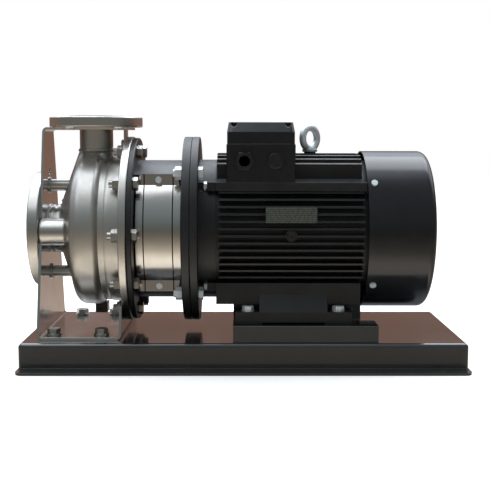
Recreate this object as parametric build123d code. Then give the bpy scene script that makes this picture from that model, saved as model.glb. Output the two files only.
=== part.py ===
from build123d import *
from math import cos, degrees, radians, sin, sqrt
import os

# Close-coupled end-suction centrifugal pump with its motor on a folded base.
# Every sub-part is drawn in the pump's own frame: the shaft lies on the X axis, X = 0 is the face of
# the suction flange, +X runs towards the fan and +Z is up. At export all of them are moved together,
# so that the written parts stand on Z = 0 with the origin under the middle of the base.

# ---- base, rails and heights (mm) ----
base_length = 688.0
base_width = 284.0
base_height = 42.0
base_sheet = 4.0
base_bend = 6.0
lip_width = 30.0
lip_hole_r = 6.0
lip_hole_spacing = 604.0
lip_corner_r = 12.0
face_inset = 4.0
rail_length = 223.0
rail_width = 50.0
rail_height = 26.0
rail_start = 323.5
foot_drop = 138.0

# ---- suction and discharge ports ----
raised_face = 2.0
suction_flange_r = 92.5
suction_flange_t = 17.0
suction_seat_r = 61.0
suction_bolt_r = 72.5
suction_bore_r = 34.0
suction_pipe_r = 38.0
suction_pipe_length = 26.0
port_hole_r = 9.0
discharge_x = 100.0
discharge_height = 183.0
discharge_flange_r = 75.0
discharge_flange_t = 16.0
discharge_seat_r = 44.0
discharge_bolt_r = 55.0
discharge_bore_r = 22.0
discharge_neck_r = 27.0

# ---- volute casing, its flange and its cover ----
casing_wall = 3.5
casing_depth = 105.0
dish_start_r = 41.0
dish_end_r = 106.0
dish_depth = 25.0
bulge_r = 124.5
bulge_start = 88.0
bulge_end = 102.0
throat_r = 121.0
shoulder_start_z = 90.0
shoulder_end_z = 128.0
shoulder_x = 98.0
shoulder_half_x = 33.0
shoulder_half_y = 45.0
wear_holder_length = 25.0
flange_r = 150.0
casing_flange_t = 12.0
casing_bolt_count = 10
casing_bolt_circle_r = 132.0
casing_hole_r = 6.75
casing_bolt_spare = 6.0
cover_gap = 0.5
cover_wall = 3.0
cover_rim_r = 124.0
cover_rim_t = 4.0
cover_reach = 50.0
seal_chamber_r = 24.0
seal_chamber_wall = 4.0
seal_chamber_length = 32.0
drain_plug_r = 5.5

# ---- support bracket ----
bracket_sheet = 4.0
bracket_top_half = 36.0
bracket_foot_half = 114.0
bracket_bend = 8.0
strap_end = 159.0
tongue_half = 14.0
tongue_drop = 35.0
bracket_end_rise = 52.0
bracket_bolt_x = (41.5, 116.0)
bracket_bolt_far_x = (58.5, 116.0)
bracket_bolt_y = 88.0
rod_r = 9.5
rod_offset = 71.0
rod_stud_r = 6.0
rod_washer_r = 13.0
rod_washer_t = 2.5
spacer_r = 21.5
spacer_offset = 64.5
spacer_length = 41.0
sight_hole_z = 92.0
sight_hole_r = 7.0

# ---- lantern and guards ----
lantern_length = 95.5
lantern_pump_flange_t = 8.5
lantern_pump_flange_r = 148.0
lantern_motor_flange_t = 13.0
lantern_bore_r = 103.0
arm_half_width = 82.0
arm_edge_z = 91.0
arm_crown_z = 112.0
guard_sheet = 1.5
guard_panel_r = 112.0
guard_side_gap = 2.5
guard_tab_z = 92.0
guard_groove_inset = 12.0
guard_screw_r = 2.5
guard_screw_z = 83.0

# ---- motor ----
motor_flange_t = 12.0
motor_bolt_circle_r = 132.5
motor_hole_r = 7.0
spigot_r = 115.0
spigot_t = 4.0
spigot_gap = 0.05
shield_depth = 27.5
shield_r = 113.0
frame_length = 232.0
frame_bore_r = 104.0
frame_core_r = 112.0
fin_tip_r = 125.0
fin_t = 3.0
top_fin_count = 13
top_fin_span = 144.0
roof_r = 130.0
roof_z = 123.5
side_fin_pitch = 11.0
side_fin_top = 65.0
side_fin_count = 13
corner_bar = (60.0, 108.0, 67.0, 80.0)
skirt_bar = (60.0, 104.0, 76.0, 109.0)
shield_screw_top = (88.0, 73.5)
shield_screw_low = (80.0, -84.0)
fan_shield_screw_r = 108.0
fan_shield_screw_angle = 52.0
shield_lug_half = (12.0, 6.5)
shield_lug_t = 14.0
shaft_extension = 80.0
shaft_end_r = 19.0
shaft_seat_r = 20.0
shaft_body_r = 24.0
drive_bearing = (20.0, 27.2, 37.8, 45.0, 23.0, 7.5, 8)
fan_bearing = (20.0, 25.0, 35.0, 40.0, 18.0, 6.5, 9)
race_gap = 0.05
stator_start = 347.0
stator_length = 125.0
stator_bore_r = 65.0
air_gap = 0.5
winding_reach = 27.0
foot_length = 180.0
foot_half = 121.0
foot_t = 19.0
foot_bolt_setback = 89.0
foot_bolt_x_spacing = 140.0
foot_bolt_y_spacing = 216.0
foot_pocket = 37.5
foot_hole_r = 6.0

# ---- fan end ----
cover_start_gap = 2.0
fan_cover_length = 105.0
fan_cover_r = 127.5
fan_cover_sheet = 1.5
fan_cover_corner = 13.0
fan_cover_screw_angle = 38.0
grille_slots = 32
grille_slot_w = 5.0
grille_inner_r = 42.0
grille_outer_r = 104.0
fan_r = 108.0
fan_blades = 8
fan_start = 566.0

# ---- terminal box and fittings ----
box_start = 313.0
box_length = 106.0
box_near_y = -108.0
box_far_y = 48.0
box_bottom_z = 80.0
box_top_z = 138.0
box_wall = 4.0
lid_inset = 1.0
lid_top_z = 172.0
lid_corner = 8.0
lid_slope_z = 157.0
lid_slope_in = 12.0
lid_side_in = 2.5
lid_screw_inset = 11.5
lid_screw_r = 2.2
lid_screw_seat_z = 160.0
gasket_t = 1.5
gland_x = 340.5
plug_x = 388.0
gland_z = 113.0
gland_hole_r = 12.5
plug_hole_r = 10.0
cable_hole_r = 8.5
eye_x = 448.5
eye_ring_r = 17.3
eye_wire_r = 5.6
eye_centre_z = 148.0
eye_boss_z = 125.8
eye_collar_r = 12.2
eye_turn = 44.0
plate_x = (373.0, 451.0)
plate_z = (19.5, 44.0)
plate_pad_y = 126.0
earth_x = 412.0

# ---- pump rotor ----
impeller_r = 100.0
impeller_eye_r = 36.0
impeller_width = 26.0
shroud_t = 4.0
vane_count = 6
vane_t = 4.0
impeller_hub_r = 20.0
impeller_bore_r = 12.0
stub_r = 14.0
stub_sleeve_r = 28.0
thread_r = 8.0
wear_gap = 0.3
seal_face_gap = 0.3

# ---- fastener sizes: shank radius, head corner radius, head height ----
m12 = (6.0, 10.4, 7.5, 10.8)
m10 = (5.0, 9.2, 6.4, 8.4)
m8 = (4.0, 7.2, 5.3, 6.8)
m6 = (3.0, 5.8, 4.0, 5.2)

# ---- places worked out from the sizes above ----
rim_back = raised_face + suction_flange_t
plate_back = rim_back + bracket_sheet
casing_front = rim_back + suction_pipe_length
casing_back = casing_front + casing_depth
casing_joint = casing_back + casing_flange_t
motor_face = casing_joint + lantern_length
flange_back = motor_face + motor_flange_t
frame_start = flange_back + shield_depth
frame_end = frame_start + frame_length
cover_start = frame_end + cover_start_gap
cover_end = cover_start + fan_cover_length
base_top = -(foot_drop + rail_height)
base_bottom = base_top - base_height
base_x0 = -face_inset
base_x1 = base_x0 + base_length
shaft_height = -base_bottom
strap_top = discharge_height - raised_face - discharge_flange_t
foot_bolt_x = (motor_face + foot_bolt_setback, motor_face + foot_bolt_setback + foot_bolt_x_spacing)
foot_middle = (foot_bolt_x[0] + foot_bolt_x[1]) / 2
casing_angles = [i * 360 / casing_bolt_count for i in range(casing_bolt_count)]
motor_angles = [45, 135, 225, 315]
drive_bearing_x = motor_face + 10.5
fan_bearing_x = frame_end + 4.0
impeller_back = casing_back - 42.0
shroud_front = impeller_back - impeller_width - 2 * shroud_t
impeller_front = shroud_front - 12.0
hub_front = impeller_front + 8.0
cover_front = casing_joint - cover_reach
seal_seat_x = cover_front + seal_chamber_length - seal_chamber_wall

LOW = (Align.CENTER, Align.CENTER, Align.MIN)


def block(x0, x1, y0, y1, z0, z1):
    """Box between two corners."""
    size = (x1 - x0, y1 - y0, z1 - z0)
    return Pos((x0 + x1) / 2, (y0 + y1) / 2, (z0 + z1) / 2) * Box(*size)


def disc(x0, x1, r):
    """Solid cylinder on the shaft line."""
    return Pos(x0, 0, 0) * Rot(0, 90, 0) * Cylinder(r, x1 - x0, align=LOW)


def tube(x0, x1, outer_r, inner_r):
    """Hollow cylinder on the shaft line."""
    return disc(x0, x1, outer_r) - disc(x0 - 1, x1 + 1, inner_r)


def hex_bar(corner_r, length):
    """Upright hexagonal bar with its corners turned off at both ends, like a nut."""
    round_bar = Cylinder(corner_r, length, align=LOW)
    rims = round_bar.edges().filter_by(GeomType.CIRCLE)
    return extrude(RegularPolygon(corner_r, 6), length) & chamfer(rims, 0.1 * corner_r)


def hexagon(x0, x1, corner_r):
    """Hexagonal bar along X on the shaft line."""
    return Pos(x0, 0, 0) * Rot(0, 90, 0) * hex_bar(corner_r, x1 - x0)


def post(x, y, z0, z1, r):
    """Upright cylinder."""
    return Pos(x, y, z0) * Cylinder(r, z1 - z0, align=LOW)


def hex_post(x, y, z0, z1, corner_r):
    """Upright hexagonal bar."""
    return Pos(x, y, z0) * hex_bar(corner_r, z1 - z0)


def peg(x, z, y0, y1, r):
    """Cylinder along Y."""
    return Pos(x, y1, z) * Rot(90, 0, 0) * Cylinder(r, y1 - y0, align=LOW)


def hex_peg(x, z, y0, y1, corner_r):
    """Hexagonal bar along Y."""
    return Pos(x, y1, z) * Rot(90, 0, 0) * hex_bar(corner_r, y1 - y0)


def at_radius(shape, r, angle):
    """Moves a shape from the shaft line out to a radius, at an angle from -Y towards +Z."""
    return Pos(0, -r * cos(radians(angle)), r * sin(radians(angle))) * shape


def ringed(shape, r, angles):
    """Copies of a shape at a radius, one for each angle."""
    return [at_radius(shape, r, a) for a in angles]


def turned(points):
    """Solid of revolution about the shaft from an (x, radius) outline."""
    face = Plane.XZ * make_face(Polyline(*points, close=True))
    return revolve(face, Axis.X, 360)


def cut_all(shape, tools):
    """Shape with every tool taken away."""
    for tool in tools:
        shape = shape - tool
    return shape


def joined(shapes):
    """One shape from several."""
    whole = shapes[0]
    for extra in shapes[1:]:
        whole = whole + extra
    return whole


# ---- base ----
def base_frame():
    outer = block(base_x0, base_x1, -base_width / 2, base_width / 2, base_bottom, base_top)
    top_edges = outer.edges().group_by(Axis.Z)[-1]
    outer = fillet(list(top_edges) + list(outer.edges().filter_by(Axis.Z)), base_bend)
    inner_half = base_width / 2 - base_sheet
    cavity = block(
        base_x0 + base_sheet, base_x1 - base_sheet, -inner_half, inner_half,
        base_bottom - 1, base_top - base_sheet,
    )
    shape = outer
    lip_half = base_width / 2 + lip_width
    for side in (-1, 1):
        near, far = sorted((side * (inner_half - base_bend), side * lip_half))
        lip = block(base_x0, base_x1, near, far, base_bottom, base_bottom + base_sheet)
        corners = lip.edges().filter_by(Axis.Z).group_by(Axis.Y)[0 if side < 0 else -1]
        shape = shape + fillet(corners, lip_corner_r)
    shape = shape - cavity
    middle = (base_x0 + base_x1) / 2
    for side in (-1, 1):
        for end in (-1, 1):
            x = middle + end * lip_hole_spacing / 2
            y = side * (base_width + lip_width) / 2
            shape = shape - post(x, y, base_bottom - 1, base_bottom + base_sheet + 1, lip_hole_r)
    for x, y in bracket_bolt_places():
        shape = shape - post(x, y, base_top - 10, base_top + 1, m12[0])
    return shape


def motor_rails():
    rails = []
    outer_y = foot_bolt_y_spacing / 2 + rail_width / 2
    for side in (-1, 1):
        near, far = sorted((side * outer_y, side * (outer_y - rail_width)))
        rail = block(rail_start, rail_start + rail_length, near, far, base_top, -foot_drop)
        rail = fillet(rail.edges().filter_by(Axis.X).group_by(Axis.Z)[-1], 2.5)
        for x in foot_bolt_x:
            hole = post(x, side * foot_bolt_y_spacing / 2, base_top + 6, -foot_drop + 1, m10[0])
            rail = rail - hole
        rails.append(rail)
    return rails


# ---- pump support ----
def bracket_section():
    """Side view of the bent sheet: end plate, foot, upright plate and strap in one strip."""
    t = bracket_sheet
    x0 = rim_back
    x1 = casing_back
    rise = base_top + bracket_end_rise
    outer = [(x1, rise), (x1, base_top), (x0, base_top), (x0, strap_top), (strap_end, strap_top)]
    inner = [
        (strap_end, strap_top - t), (x0 + t, strap_top - t), (x0 + t, base_top + t),
        (x1 - t, base_top + t), (x1 - t, rise),
    ]
    face = Plane.XZ * make_face(Polyline(*outer, *inner, close=True))
    bends = ((outer[1:4], bracket_bend), (inner[1:4], bracket_bend - t))
    for corners, radius in bends:
        for x, z in corners:
            near = face.vertices().sort_by_distance((x, 0, z))[0]
            face = fillet(near, radius)
    return face


def support_bracket():
    half = bracket_foot_half
    strip = extrude(bracket_section(), half, both=True)
    taper = make_face(Polyline(
        (-half, base_top), (half, base_top),
        (bracket_top_half, strap_top), (-bracket_top_half, strap_top), close=True,
    ))
    shape = strip & Pos(rim_back - 5, 0, 0) * (Plane.YZ * extrude(taper, strap_end))
    tongue_x = casing_back - bracket_sheet
    tongue_z = strap_top - tongue_drop
    shape = shape + block(tongue_x, casing_back, -tongue_half, tongue_half, tongue_z, strap_top - 1)
    low = rim_back - 5
    high = plate_back + 5
    cuts = [disc(low, high, suction_pipe_r + 1.0)]
    cuts += ringed(disc(low, high, spacer_r + 0.5), spacer_offset, (0, 180))
    cuts += ringed(disc(low, high, rod_stud_r + 0.2), rod_offset, (90, 270))
    cuts.append(at_radius(disc(low, high, sight_hole_r), sight_hole_z, 90))
    cuts.append(post(discharge_x, 0, strap_top - 10, strap_top + 10, discharge_neck_r + 0.5))
    low = casing_back - 8
    high = casing_back + 1
    cuts.append(disc(low, high, throat_r + 1.0))
    cuts += ringed(disc(low, high, casing_hole_r), casing_bolt_circle_r, casing_angles)
    cuts.append(at_radius(disc(low, high, m8[0] + 0.4), tongue_screw_r(), 90))
    for x, y in bracket_bolt_places():
        cuts.append(post(x, y, base_top - 1, base_top + 10, m12[0] + 0.75))
    return cut_all(shape, cuts)


def tongue_screw_r():
    """Radius of the screw that ties the bracket's tongue to the casing flange."""
    return strap_top - tongue_drop + 8.0


def bracket_bolt_places():
    near = [(x, -bracket_bolt_y) for x in bracket_bolt_x]
    return near + [(x, bracket_bolt_y) for x in bracket_bolt_far_x]


def bracket_bolts():
    shapes = []
    seat = base_top + bracket_sheet
    shank, head, height, _ = m12
    for x, y in bracket_bolt_places():
        washer = post(x, y, seat, seat + 2.5, 12.0) - post(x, y, seat - 1, seat + 4, shank)
        bolt = hex_post(x, y, seat + 2.5, seat + 2.5 + height, head)
        bolt = bolt + post(x, y, base_top - base_sheet - 6, seat + 2.5, shank)
        shapes += [washer, bolt]
    shank, head, height, _ = m8
    face = casing_back - bracket_sheet
    screw = hexagon(face - height, face, head) + disc(face, casing_back + 9, shank)
    shapes.append(at_radius(screw, tongue_screw_r(), 90))
    return shapes


def standoff_rods():
    rod = disc(plate_back + rod_washer_t, casing_front + dish_depth, rod_r)
    rod = rod + disc(rim_back, plate_back + rod_washer_t, rod_stud_r)
    return [part - casing_body(0.0) for part in ringed(rod, rod_offset, (90, 270))]


def standoff_washers():
    washer = tube(plate_back, plate_back + rod_washer_t, rod_washer_r, rod_stud_r)
    return ringed(washer, rod_offset, (90, 270))


def side_spacers():
    spacer = disc(rim_back, rim_back + spacer_length, spacer_r)
    spacer = fillet(spacer.edges().filter_by(GeomType.CIRCLE), 3.0)
    spacer = spacer + disc(rim_back + spacer_length - 4, casing_front + dish_depth, spacer_r - 3.5)
    return [part - casing_body(0.0) for part in ringed(spacer, spacer_offset, (0, 180))]


# ---- pump casing ----
def suction_flange():
    rim = disc(raised_face, rim_back, suction_flange_r)
    rim = fillet(rim.edges().filter_by(GeomType.CIRCLE), 2.0)
    shape = rim + disc(0, raised_face + 1, suction_seat_r)
    holes = ringed(disc(-1, rim_back + 1, port_hole_r), suction_bolt_r, motor_angles)
    return cut_all(shape - disc(-1, rim_back + 1, suction_bore_r), holes)


def suction_pipe():
    shape = disc(rim_back, casing_front, suction_pipe_r)
    for x in (casing_front - 14.0, casing_front - 5.0):
        shape = shape + disc(x - 2.5, x + 2.5, suction_pipe_r + 1.6)
    return shape - disc(rim_back - 1, casing_front + 1, suction_bore_r)


def casing_body(inset):
    """Outside of the volute, or its inside when inset by the wall: a dished front, a round
    shoulder up to the bulge and a throat, turned about the shaft, with a flare up to the neck."""
    front = casing_front + 1.07 * inset
    dish_x = casing_front + dish_depth + 1.07 * inset
    top_r = bulge_r - inset
    neck_r = throat_r - inset
    back = casing_back + (1.0 if inset else 0.0)
    mid = (dish_x + 0.3 * (bulge_start - dish_x), dish_end_r + 0.66 * (top_r - dish_end_r))
    edges = [
        Line((front, 0), (front, dish_start_r)),
        Line((front, dish_start_r), (dish_x, dish_end_r)),
        ThreePointArc((dish_x, dish_end_r), mid, (bulge_start, top_r)),
        Line((bulge_start, top_r), (bulge_end, top_r)),
        Line((bulge_end, top_r), (bulge_end + 22.0, neck_r)),
        Line((bulge_end + 22.0, neck_r), (back, neck_r)),
        Line((back, neck_r), (back, 0)),
        Line((back, 0), (front, 0)),
    ]
    body = revolve(Plane.XZ * make_face(edges), Axis.X, 360)
    low = Pos(shoulder_x, 0, shoulder_start_z) * Ellipse(shoulder_half_y - inset, shoulder_half_x - inset, 90)
    neck_inner = discharge_bore_r if inset else discharge_neck_r
    high = Pos(discharge_x, 0, shoulder_end_z) * Circle(neck_inner)
    body = body + loft([low, high])
    if inset:
        body = body + post(discharge_x, 0, shoulder_end_z - 1, shoulder_end_z + 5, neck_inner)
    return body


def wear_holder_end():
    return casing_front + wear_holder_length


def volute_casing():
    shape = casing_body(0.0) - casing_body(casing_wall)
    holder = tube(casing_front + 2.5, wear_holder_end(), impeller_eye_r + 9.0, impeller_eye_r + 5.0)
    shape = shape + holder
    return shape - disc(casing_front - 1, casing_front + casing_wall + 1, suction_bore_r)


def discharge_neck():
    neck = post(discharge_x, 0, shoulder_end_z, strap_top, discharge_neck_r)
    return neck - post(discharge_x, 0, shoulder_end_z - 1, strap_top + 1, discharge_bore_r)


def discharge_flange():
    rim_top = discharge_height - raised_face
    rim = post(discharge_x, 0, strap_top, rim_top, discharge_flange_r)
    rim = fillet(rim.edges().filter_by(GeomType.CIRCLE), 2.0)
    shape = rim + post(discharge_x, 0, rim_top - 1, discharge_height, discharge_seat_r)
    shape = shape - post(discharge_x, 0, strap_top - 1, discharge_height + 1, discharge_bore_r)
    for a in motor_angles:
        x = discharge_x + discharge_bolt_r * cos(radians(a))
        y = discharge_bolt_r * sin(radians(a))
        shape = shape - post(x, y, strap_top - 1, discharge_height + 1, port_hole_r)
    return shape


def casing_flange():
    ring = disc(casing_back, casing_joint, flange_r)
    ring = fillet(ring.edges().filter_by(GeomType.CIRCLE), 1.5)
    ring = ring - disc(casing_back - 1, casing_joint + 1, throat_r - casing_wall)
    cuts = ringed(disc(casing_back - 1, casing_joint + 1, casing_hole_r), casing_bolt_circle_r, casing_angles)
    cuts.append(at_radius(disc(casing_back - 1, casing_back + 10, m8[0]), tongue_screw_r(), 90))
    return cut_all(ring, cuts)


def drain_middle():
    return bulge_end + 4.0


def drain_plug_z():
    return -bulge_r - drain_plug_r - 1.5


def drain_block():
    x = drain_middle()
    body = block(x - 10, x + 10, -12, 12, -bulge_r - 14.0, -throat_r + 8.0)
    body = fillet(body.edges().filter_by(Axis.Y), 1.5)
    body = body - casing_body(0.0)
    return body - peg(x - 3, drain_plug_z(), -13, -4, drain_plug_r)


def drain_plug():
    x = drain_middle() - 3
    plug = peg(x, drain_plug_z(), -12.8, -4, drain_plug_r)
    return plug - hex_peg(x, drain_plug_z(), -14, -8, 3.0)


def casing_bolts():
    shank, head, height, nut = m12
    seat = casing_joint + lantern_pump_flange_t
    shapes = []
    for a in casing_angles:
        grip_end = nut_seat(a) - nut - casing_bolt_spare
        bolt = hexagon(seat, seat + height, head) + disc(grip_end, seat, shank)
        shapes.append(at_radius(bolt, casing_bolt_circle_r, a))
    return shapes


def nut_seat(angle):
    """Face that a casing nut bears on: the bracket's end plate where that covers the flange."""
    z = casing_bolt_circle_r * sin(radians(angle))
    covered = z < base_top + bracket_end_rise
    return casing_back - bracket_sheet if covered else casing_back


def casing_nuts():
    shank, head, _, nut = m12
    shapes = []
    for a in casing_angles:
        seat = nut_seat(a)
        body = hexagon(seat - nut, seat, head) - disc(seat - nut - 1, seat + 1, shank)
        shapes.append(at_radius(body, casing_bolt_circle_r, a))
    return shapes


def pump_cover():
    cup_r = throat_r - casing_wall - cover_gap
    shape = disc(cover_front, casing_joint + cover_rim_t, cup_r)
    shape = shape - disc(cover_front + 4.0, casing_joint + cover_rim_t + 1, cup_r - cover_wall)
    shape = shape + tube(casing_joint, casing_joint + cover_rim_t, cover_rim_r, cup_r - cover_wall)
    chamber_end = cover_front + seal_chamber_length
    shape = shape + disc(cover_front, chamber_end, seal_chamber_r + seal_chamber_wall)
    shape = shape - disc(cover_front - 1, seal_seat_x, seal_chamber_r)
    return shape - disc(cover_front, chamber_end + 1, stub_r + 1.5)


def seal_seat():
    return tube(seal_seat_x - 5.7, seal_seat_x, 20.0, stub_r + 0.8)


def seat_o_ring():
    return Pos(seal_seat_x - 3.0, 0, 0) * Rot(0, 90, 0) * Torus(22.0, 1.95)


def wear_ring():
    ring = tube(wear_holder_end() - 10.0, wear_holder_end(), impeller_eye_r + 5.0, impeller_eye_r + wear_gap)
    return ring


# ---- lantern between pump and motor ----
def flat_arc_section(half_width, edge_z, crown_z):
    """Face in YZ with upright sides and shallow arcs above and below."""
    edges = [
        ThreePointArc((-half_width, edge_z), (0, crown_z), (half_width, edge_z)),
        Line((half_width, edge_z), (half_width, -edge_z)),
        ThreePointArc((half_width, -edge_z), (0, -crown_z), (-half_width, -edge_z)),
        Line((-half_width, -edge_z), (-half_width, edge_z)),
    ]
    return Plane.YZ * make_face(edges)


def lantern():
    x0 = casing_joint
    x1 = motor_face
    shape = disc(x0, x0 + lantern_pump_flange_t, lantern_pump_flange_r)
    shape = shape + disc(x1 - lantern_motor_flange_t, x1, flange_r)
    shape = fillet(shape.edges().filter_by(GeomType.CIRCLE), 1.5)
    arms = extrude(flat_arc_section(arm_half_width, arm_edge_z, arm_crown_z), x1 - x0 - 4)
    shape = shape + Pos(x0 + 2, 0, 0) * arms
    lug_x = x0 + lantern_pump_flange_t - 1
    shape = shape + block(lug_x, lug_x + 13, -9, 9, -arm_crown_z - 13, -arm_crown_z + 4)
    cuts = [disc(x0 - 1, x1 + 1, lantern_bore_r)]
    cuts.append(disc(x0 - 1, x0 + cover_rim_t, cover_rim_r))
    cuts.append(disc(x1 - spigot_t - 0.5, x1 + 1, spigot_r + spigot_gap))
    cuts += ringed(disc(x0 - 1, x0 + 12, casing_hole_r), casing_bolt_circle_r, casing_angles)
    cuts += ringed(disc(x1 - 20, x1 + 1, motor_hole_r), motor_bolt_circle_r, motor_angles)
    for side in (-1, 1):
        for z in (-guard_screw_z, guard_screw_z):
            near, far = sorted((side * (arm_half_width - 8), side * (arm_half_width + 5)))
            cuts.append(peg(guard_middle(), z, near, far, guard_screw_r))
    return cut_all(shape, cuts)


def guard_ends():
    start = casing_joint + lantern_pump_flange_t + guard_side_gap
    return (start, motor_face - lantern_motor_flange_t - guard_side_gap)


def guard_middle():
    return sum(guard_ends()) / 2


def coupling_guard(side):
    """Bright window cover: a round panel with two rolled grooves and a flat tab above and below."""
    x0, x1 = guard_ends()
    outer = arm_half_width + guard_sheet
    bend_z = sqrt(guard_panel_r ** 2 - outer ** 2)
    shell = tube(x0, x1, guard_panel_r, guard_panel_r - guard_sheet)
    guard = shell & block(x0, x1, -guard_panel_r - 1, -arm_half_width, -bend_z, bend_z)
    outline = Polyline(
        (x0 + 2, bend_z - 2), (x0 + 5, guard_tab_z), (x1 - 5, guard_tab_z),
        (x1 - 2, bend_z - 2), close=True,
    )
    tab = Pos(0, -arm_half_width, 0) * (Plane.XZ * extrude(make_face(outline), guard_sheet))
    guard = guard + tab
    guard = guard + mirror(tab, Plane.XY)
    for x in (x0 + guard_groove_inset, x1 - guard_groove_inset):
        guard = guard - tube(x - 0.8, x + 0.8, guard_panel_r + 1, guard_panel_r - 0.6)
    for z in (-guard_screw_z, guard_screw_z):
        guard = guard - peg(guard_middle(), z, -outer - 1, -arm_half_width + 1, guard_screw_r + 0.2)
    return guard if side < 0 else mirror(guard, Plane.XZ)


def guard_screws():
    shapes = []
    outer = arm_half_width + guard_sheet
    for z in (-guard_screw_z, guard_screw_z):
        shank = peg(guard_middle(), z, -outer, -arm_half_width + 7, guard_screw_r)
        screw = shank + peg(guard_middle(), z, -outer - 3, -outer, 2 * guard_screw_r)
        shapes.append(screw)
        shapes.append(mirror(screw, Plane.XZ))
    return shapes


def flange_bolts():
    shank, head, height, nut = m12
    start = motor_face - lantern_motor_flange_t - nut - 3.0
    bolt = hexagon(flange_back, flange_back + height, head) + disc(start, flange_back, shank)
    return ringed(bolt, motor_bolt_circle_r, motor_angles)


def flange_nuts():
    shank, head, _, nut = m12
    seat = motor_face - lantern_motor_flange_t
    body = hexagon(seat - nut, seat, head) - disc(seat - nut - 1, seat + 1, shank)
    return ringed(body, motor_bolt_circle_r, motor_angles)


# ---- motor ----
def drive_end_shield():
    outer_r = drive_bearing[3]
    housing_r = outer_r + 11.0
    flange = disc(motor_face, flange_back, flange_r)
    flange = fillet(flange.edges().filter_by(GeomType.CIRCLE), 1.5)
    shape = flange + disc(motor_face - spigot_t, motor_face + 1, spigot_r)
    shape = shape + disc(flange_back - 1, frame_start, shield_r)
    shape = shape + joined(at_screws(shield_lug(frame_start - shield_lug_t, frame_start)))
    shape = shape + disc(frame_start - 1, frame_start + 4, frame_bore_r - spigot_gap)
    hollow = disc(flange_back + 6, frame_start + 5, shield_r - 8.0)
    hollow = hollow - disc(flange_back, drive_bearing_x + drive_bearing[4], housing_r)
    shape = shape - hollow
    shape = shape - disc(motor_face - 10, motor_face + 4, housing_r)
    shape = shape - disc(drive_bearing_x, frame_start + 5, outer_r)
    shape = shape - disc(motor_face - 10, drive_bearing_x + 1, shaft_end_r + 2.0)
    cuts = ringed(disc(motor_face - 1, flange_back + 1, motor_hole_r), motor_bolt_circle_r, motor_angles)
    cuts += at_screws(disc(frame_start - shield_lug_t - 2, frame_start + 1, m8[0]))
    cuts += at_screws(disc(flange_back, frame_start - shield_lug_t, m8[1] + 1.3))
    return cut_all(shape, cuts)


def at_screws(shape):
    """Copies of a shape at the four end shield screws."""
    places = (shield_screw_top, shield_screw_low)
    return [Pos(0, side * y, z) * shape for y, z in places for side in (-1, 1)]


def shield_lug(x0, x1):
    half_y, half_z = shield_lug_half
    return block(x0, x1, -half_y, half_y, -half_z, half_z)


def motor_frame():
    x0 = frame_start
    x1 = frame_end
    shape = disc(x0, x1, frame_core_r)
    fins = []
    roof = disc(x0, x1, roof_r) & block(x0, x1, -100, 100, 0, roof_z)
    for i in range(top_fin_count):
        y = -top_fin_span / 2 + i * top_fin_span / (top_fin_count - 1)
        fin = block(x0 + 1, x1 - 4, y - fin_t / 2, y + fin_t / 2, 60, roof_z)
        shape = shape + (fin & roof)
    for i in range(side_fin_count):
        z = side_fin_top - i * side_fin_pitch
        fins.append(block(x0 + 4, x1 - 4, -fin_tip_r - 5, -60, z - fin_t / 2, z + fin_t / 2))
        fins.append(block(x0 + 4, x1 - 4, 60, fin_tip_r + 5, z - fin_t / 2, z + fin_t / 2))
    for i in range(5):
        y = -24.8 + i * 12.4
        fins.append(block(x0 + 4, x1 - 4, y - fin_t / 2, y + fin_t / 2, -fin_tip_r + 2, -60))
    envelope = disc(x0 - 5, x1 + 5, fin_tip_r)
    for fin in fins:
        shape = shape + (fin & envelope)
    y0, y1, z0, z1 = corner_bar
    for side in (-1, 1):
        low, high = sorted((side * y0, side * y1))
        shape = shape + block(x0, x1, low, high, z0, z1)
    y0, y1, z0, z1 = skirt_bar
    for side in (-1, 1):
        low, high = sorted((side * y0, side * y1))
        shape = shape + block(x0, x1 - 8, low, high, -z1, -z0)
        shape = shape + motor_foot(side)
    seat = block(box_start + 17, box_start + box_length - 17, -40, 40, 90, roof_z)
    shape = shape + seat
    shape = shape + post(eye_x, 0, 100, eye_boss_z, 9.5)
    pad = block(plate_x[0] + 1, plate_x[1] - 1, -plate_pad_y, -90, plate_z[0] + 1, plate_z[1] - 1)
    shape = shape + pad
    shape = shape + peg(earth_x, 0, -plate_pad_y, -90, 9.0)
    cuts = [disc(x0 - 1, x1 + 1, frame_bore_r)]
    cuts.append(post(box_start + box_length / 2, 0, 90, roof_z + 1, 12.0))
    cuts.append(post(eye_x, 0, eye_boss_z - 12, eye_boss_z + 1, m10[0]))
    cuts.append(peg(earth_x, 0, -plate_pad_y, -frame_core_r + 2, m8[0] * 0.75))
    cuts += at_screws(disc(x0 - 1, x0 + 18, m8[0]))
    cuts += ringed(disc(x1 - 26, x1 + 1, m6[0]), fan_shield_screw_r, fan_shield_angles())
    return cut_all(shape, cuts)


def motor_foot(side):
    """One cast foot: a sloping web between two bolt pockets, on a plate relieved underneath."""
    x0 = foot_middle - foot_length / 2
    x1 = foot_middle + foot_length / 2
    outline = Polyline(
        (side * foot_half, -foot_drop), (side * foot_half, -foot_drop + foot_t),
        (side * 101.0, -foot_drop + foot_t + 29.0), (side * 60.0, -80.0),
        (side * 60.0, -foot_drop), close=True,
    )
    shape = Pos(x0, 0, 0) * (Plane.YZ * extrude(make_face(outline), x1 - x0))
    near, far = sorted((side * (foot_half - 34.0), side * (foot_half + 5)))
    for start in (x0 - 1, x1 - foot_pocket):
        shape = shape - block(start, start + foot_pocket + 1, near, far, -foot_drop + foot_t, -60)
    relief = block(x0 + foot_pocket + 4, x1 - foot_pocket - 4, -200, 200, -foot_drop - 1, -foot_drop + 3)
    shape = shape - relief
    for x in foot_bolt_x:
        y = side * foot_bolt_y_spacing / 2
        shape = shape - post(x, y, -foot_drop - 1, -foot_drop + foot_t + 1, foot_hole_r)
    return shape


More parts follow.
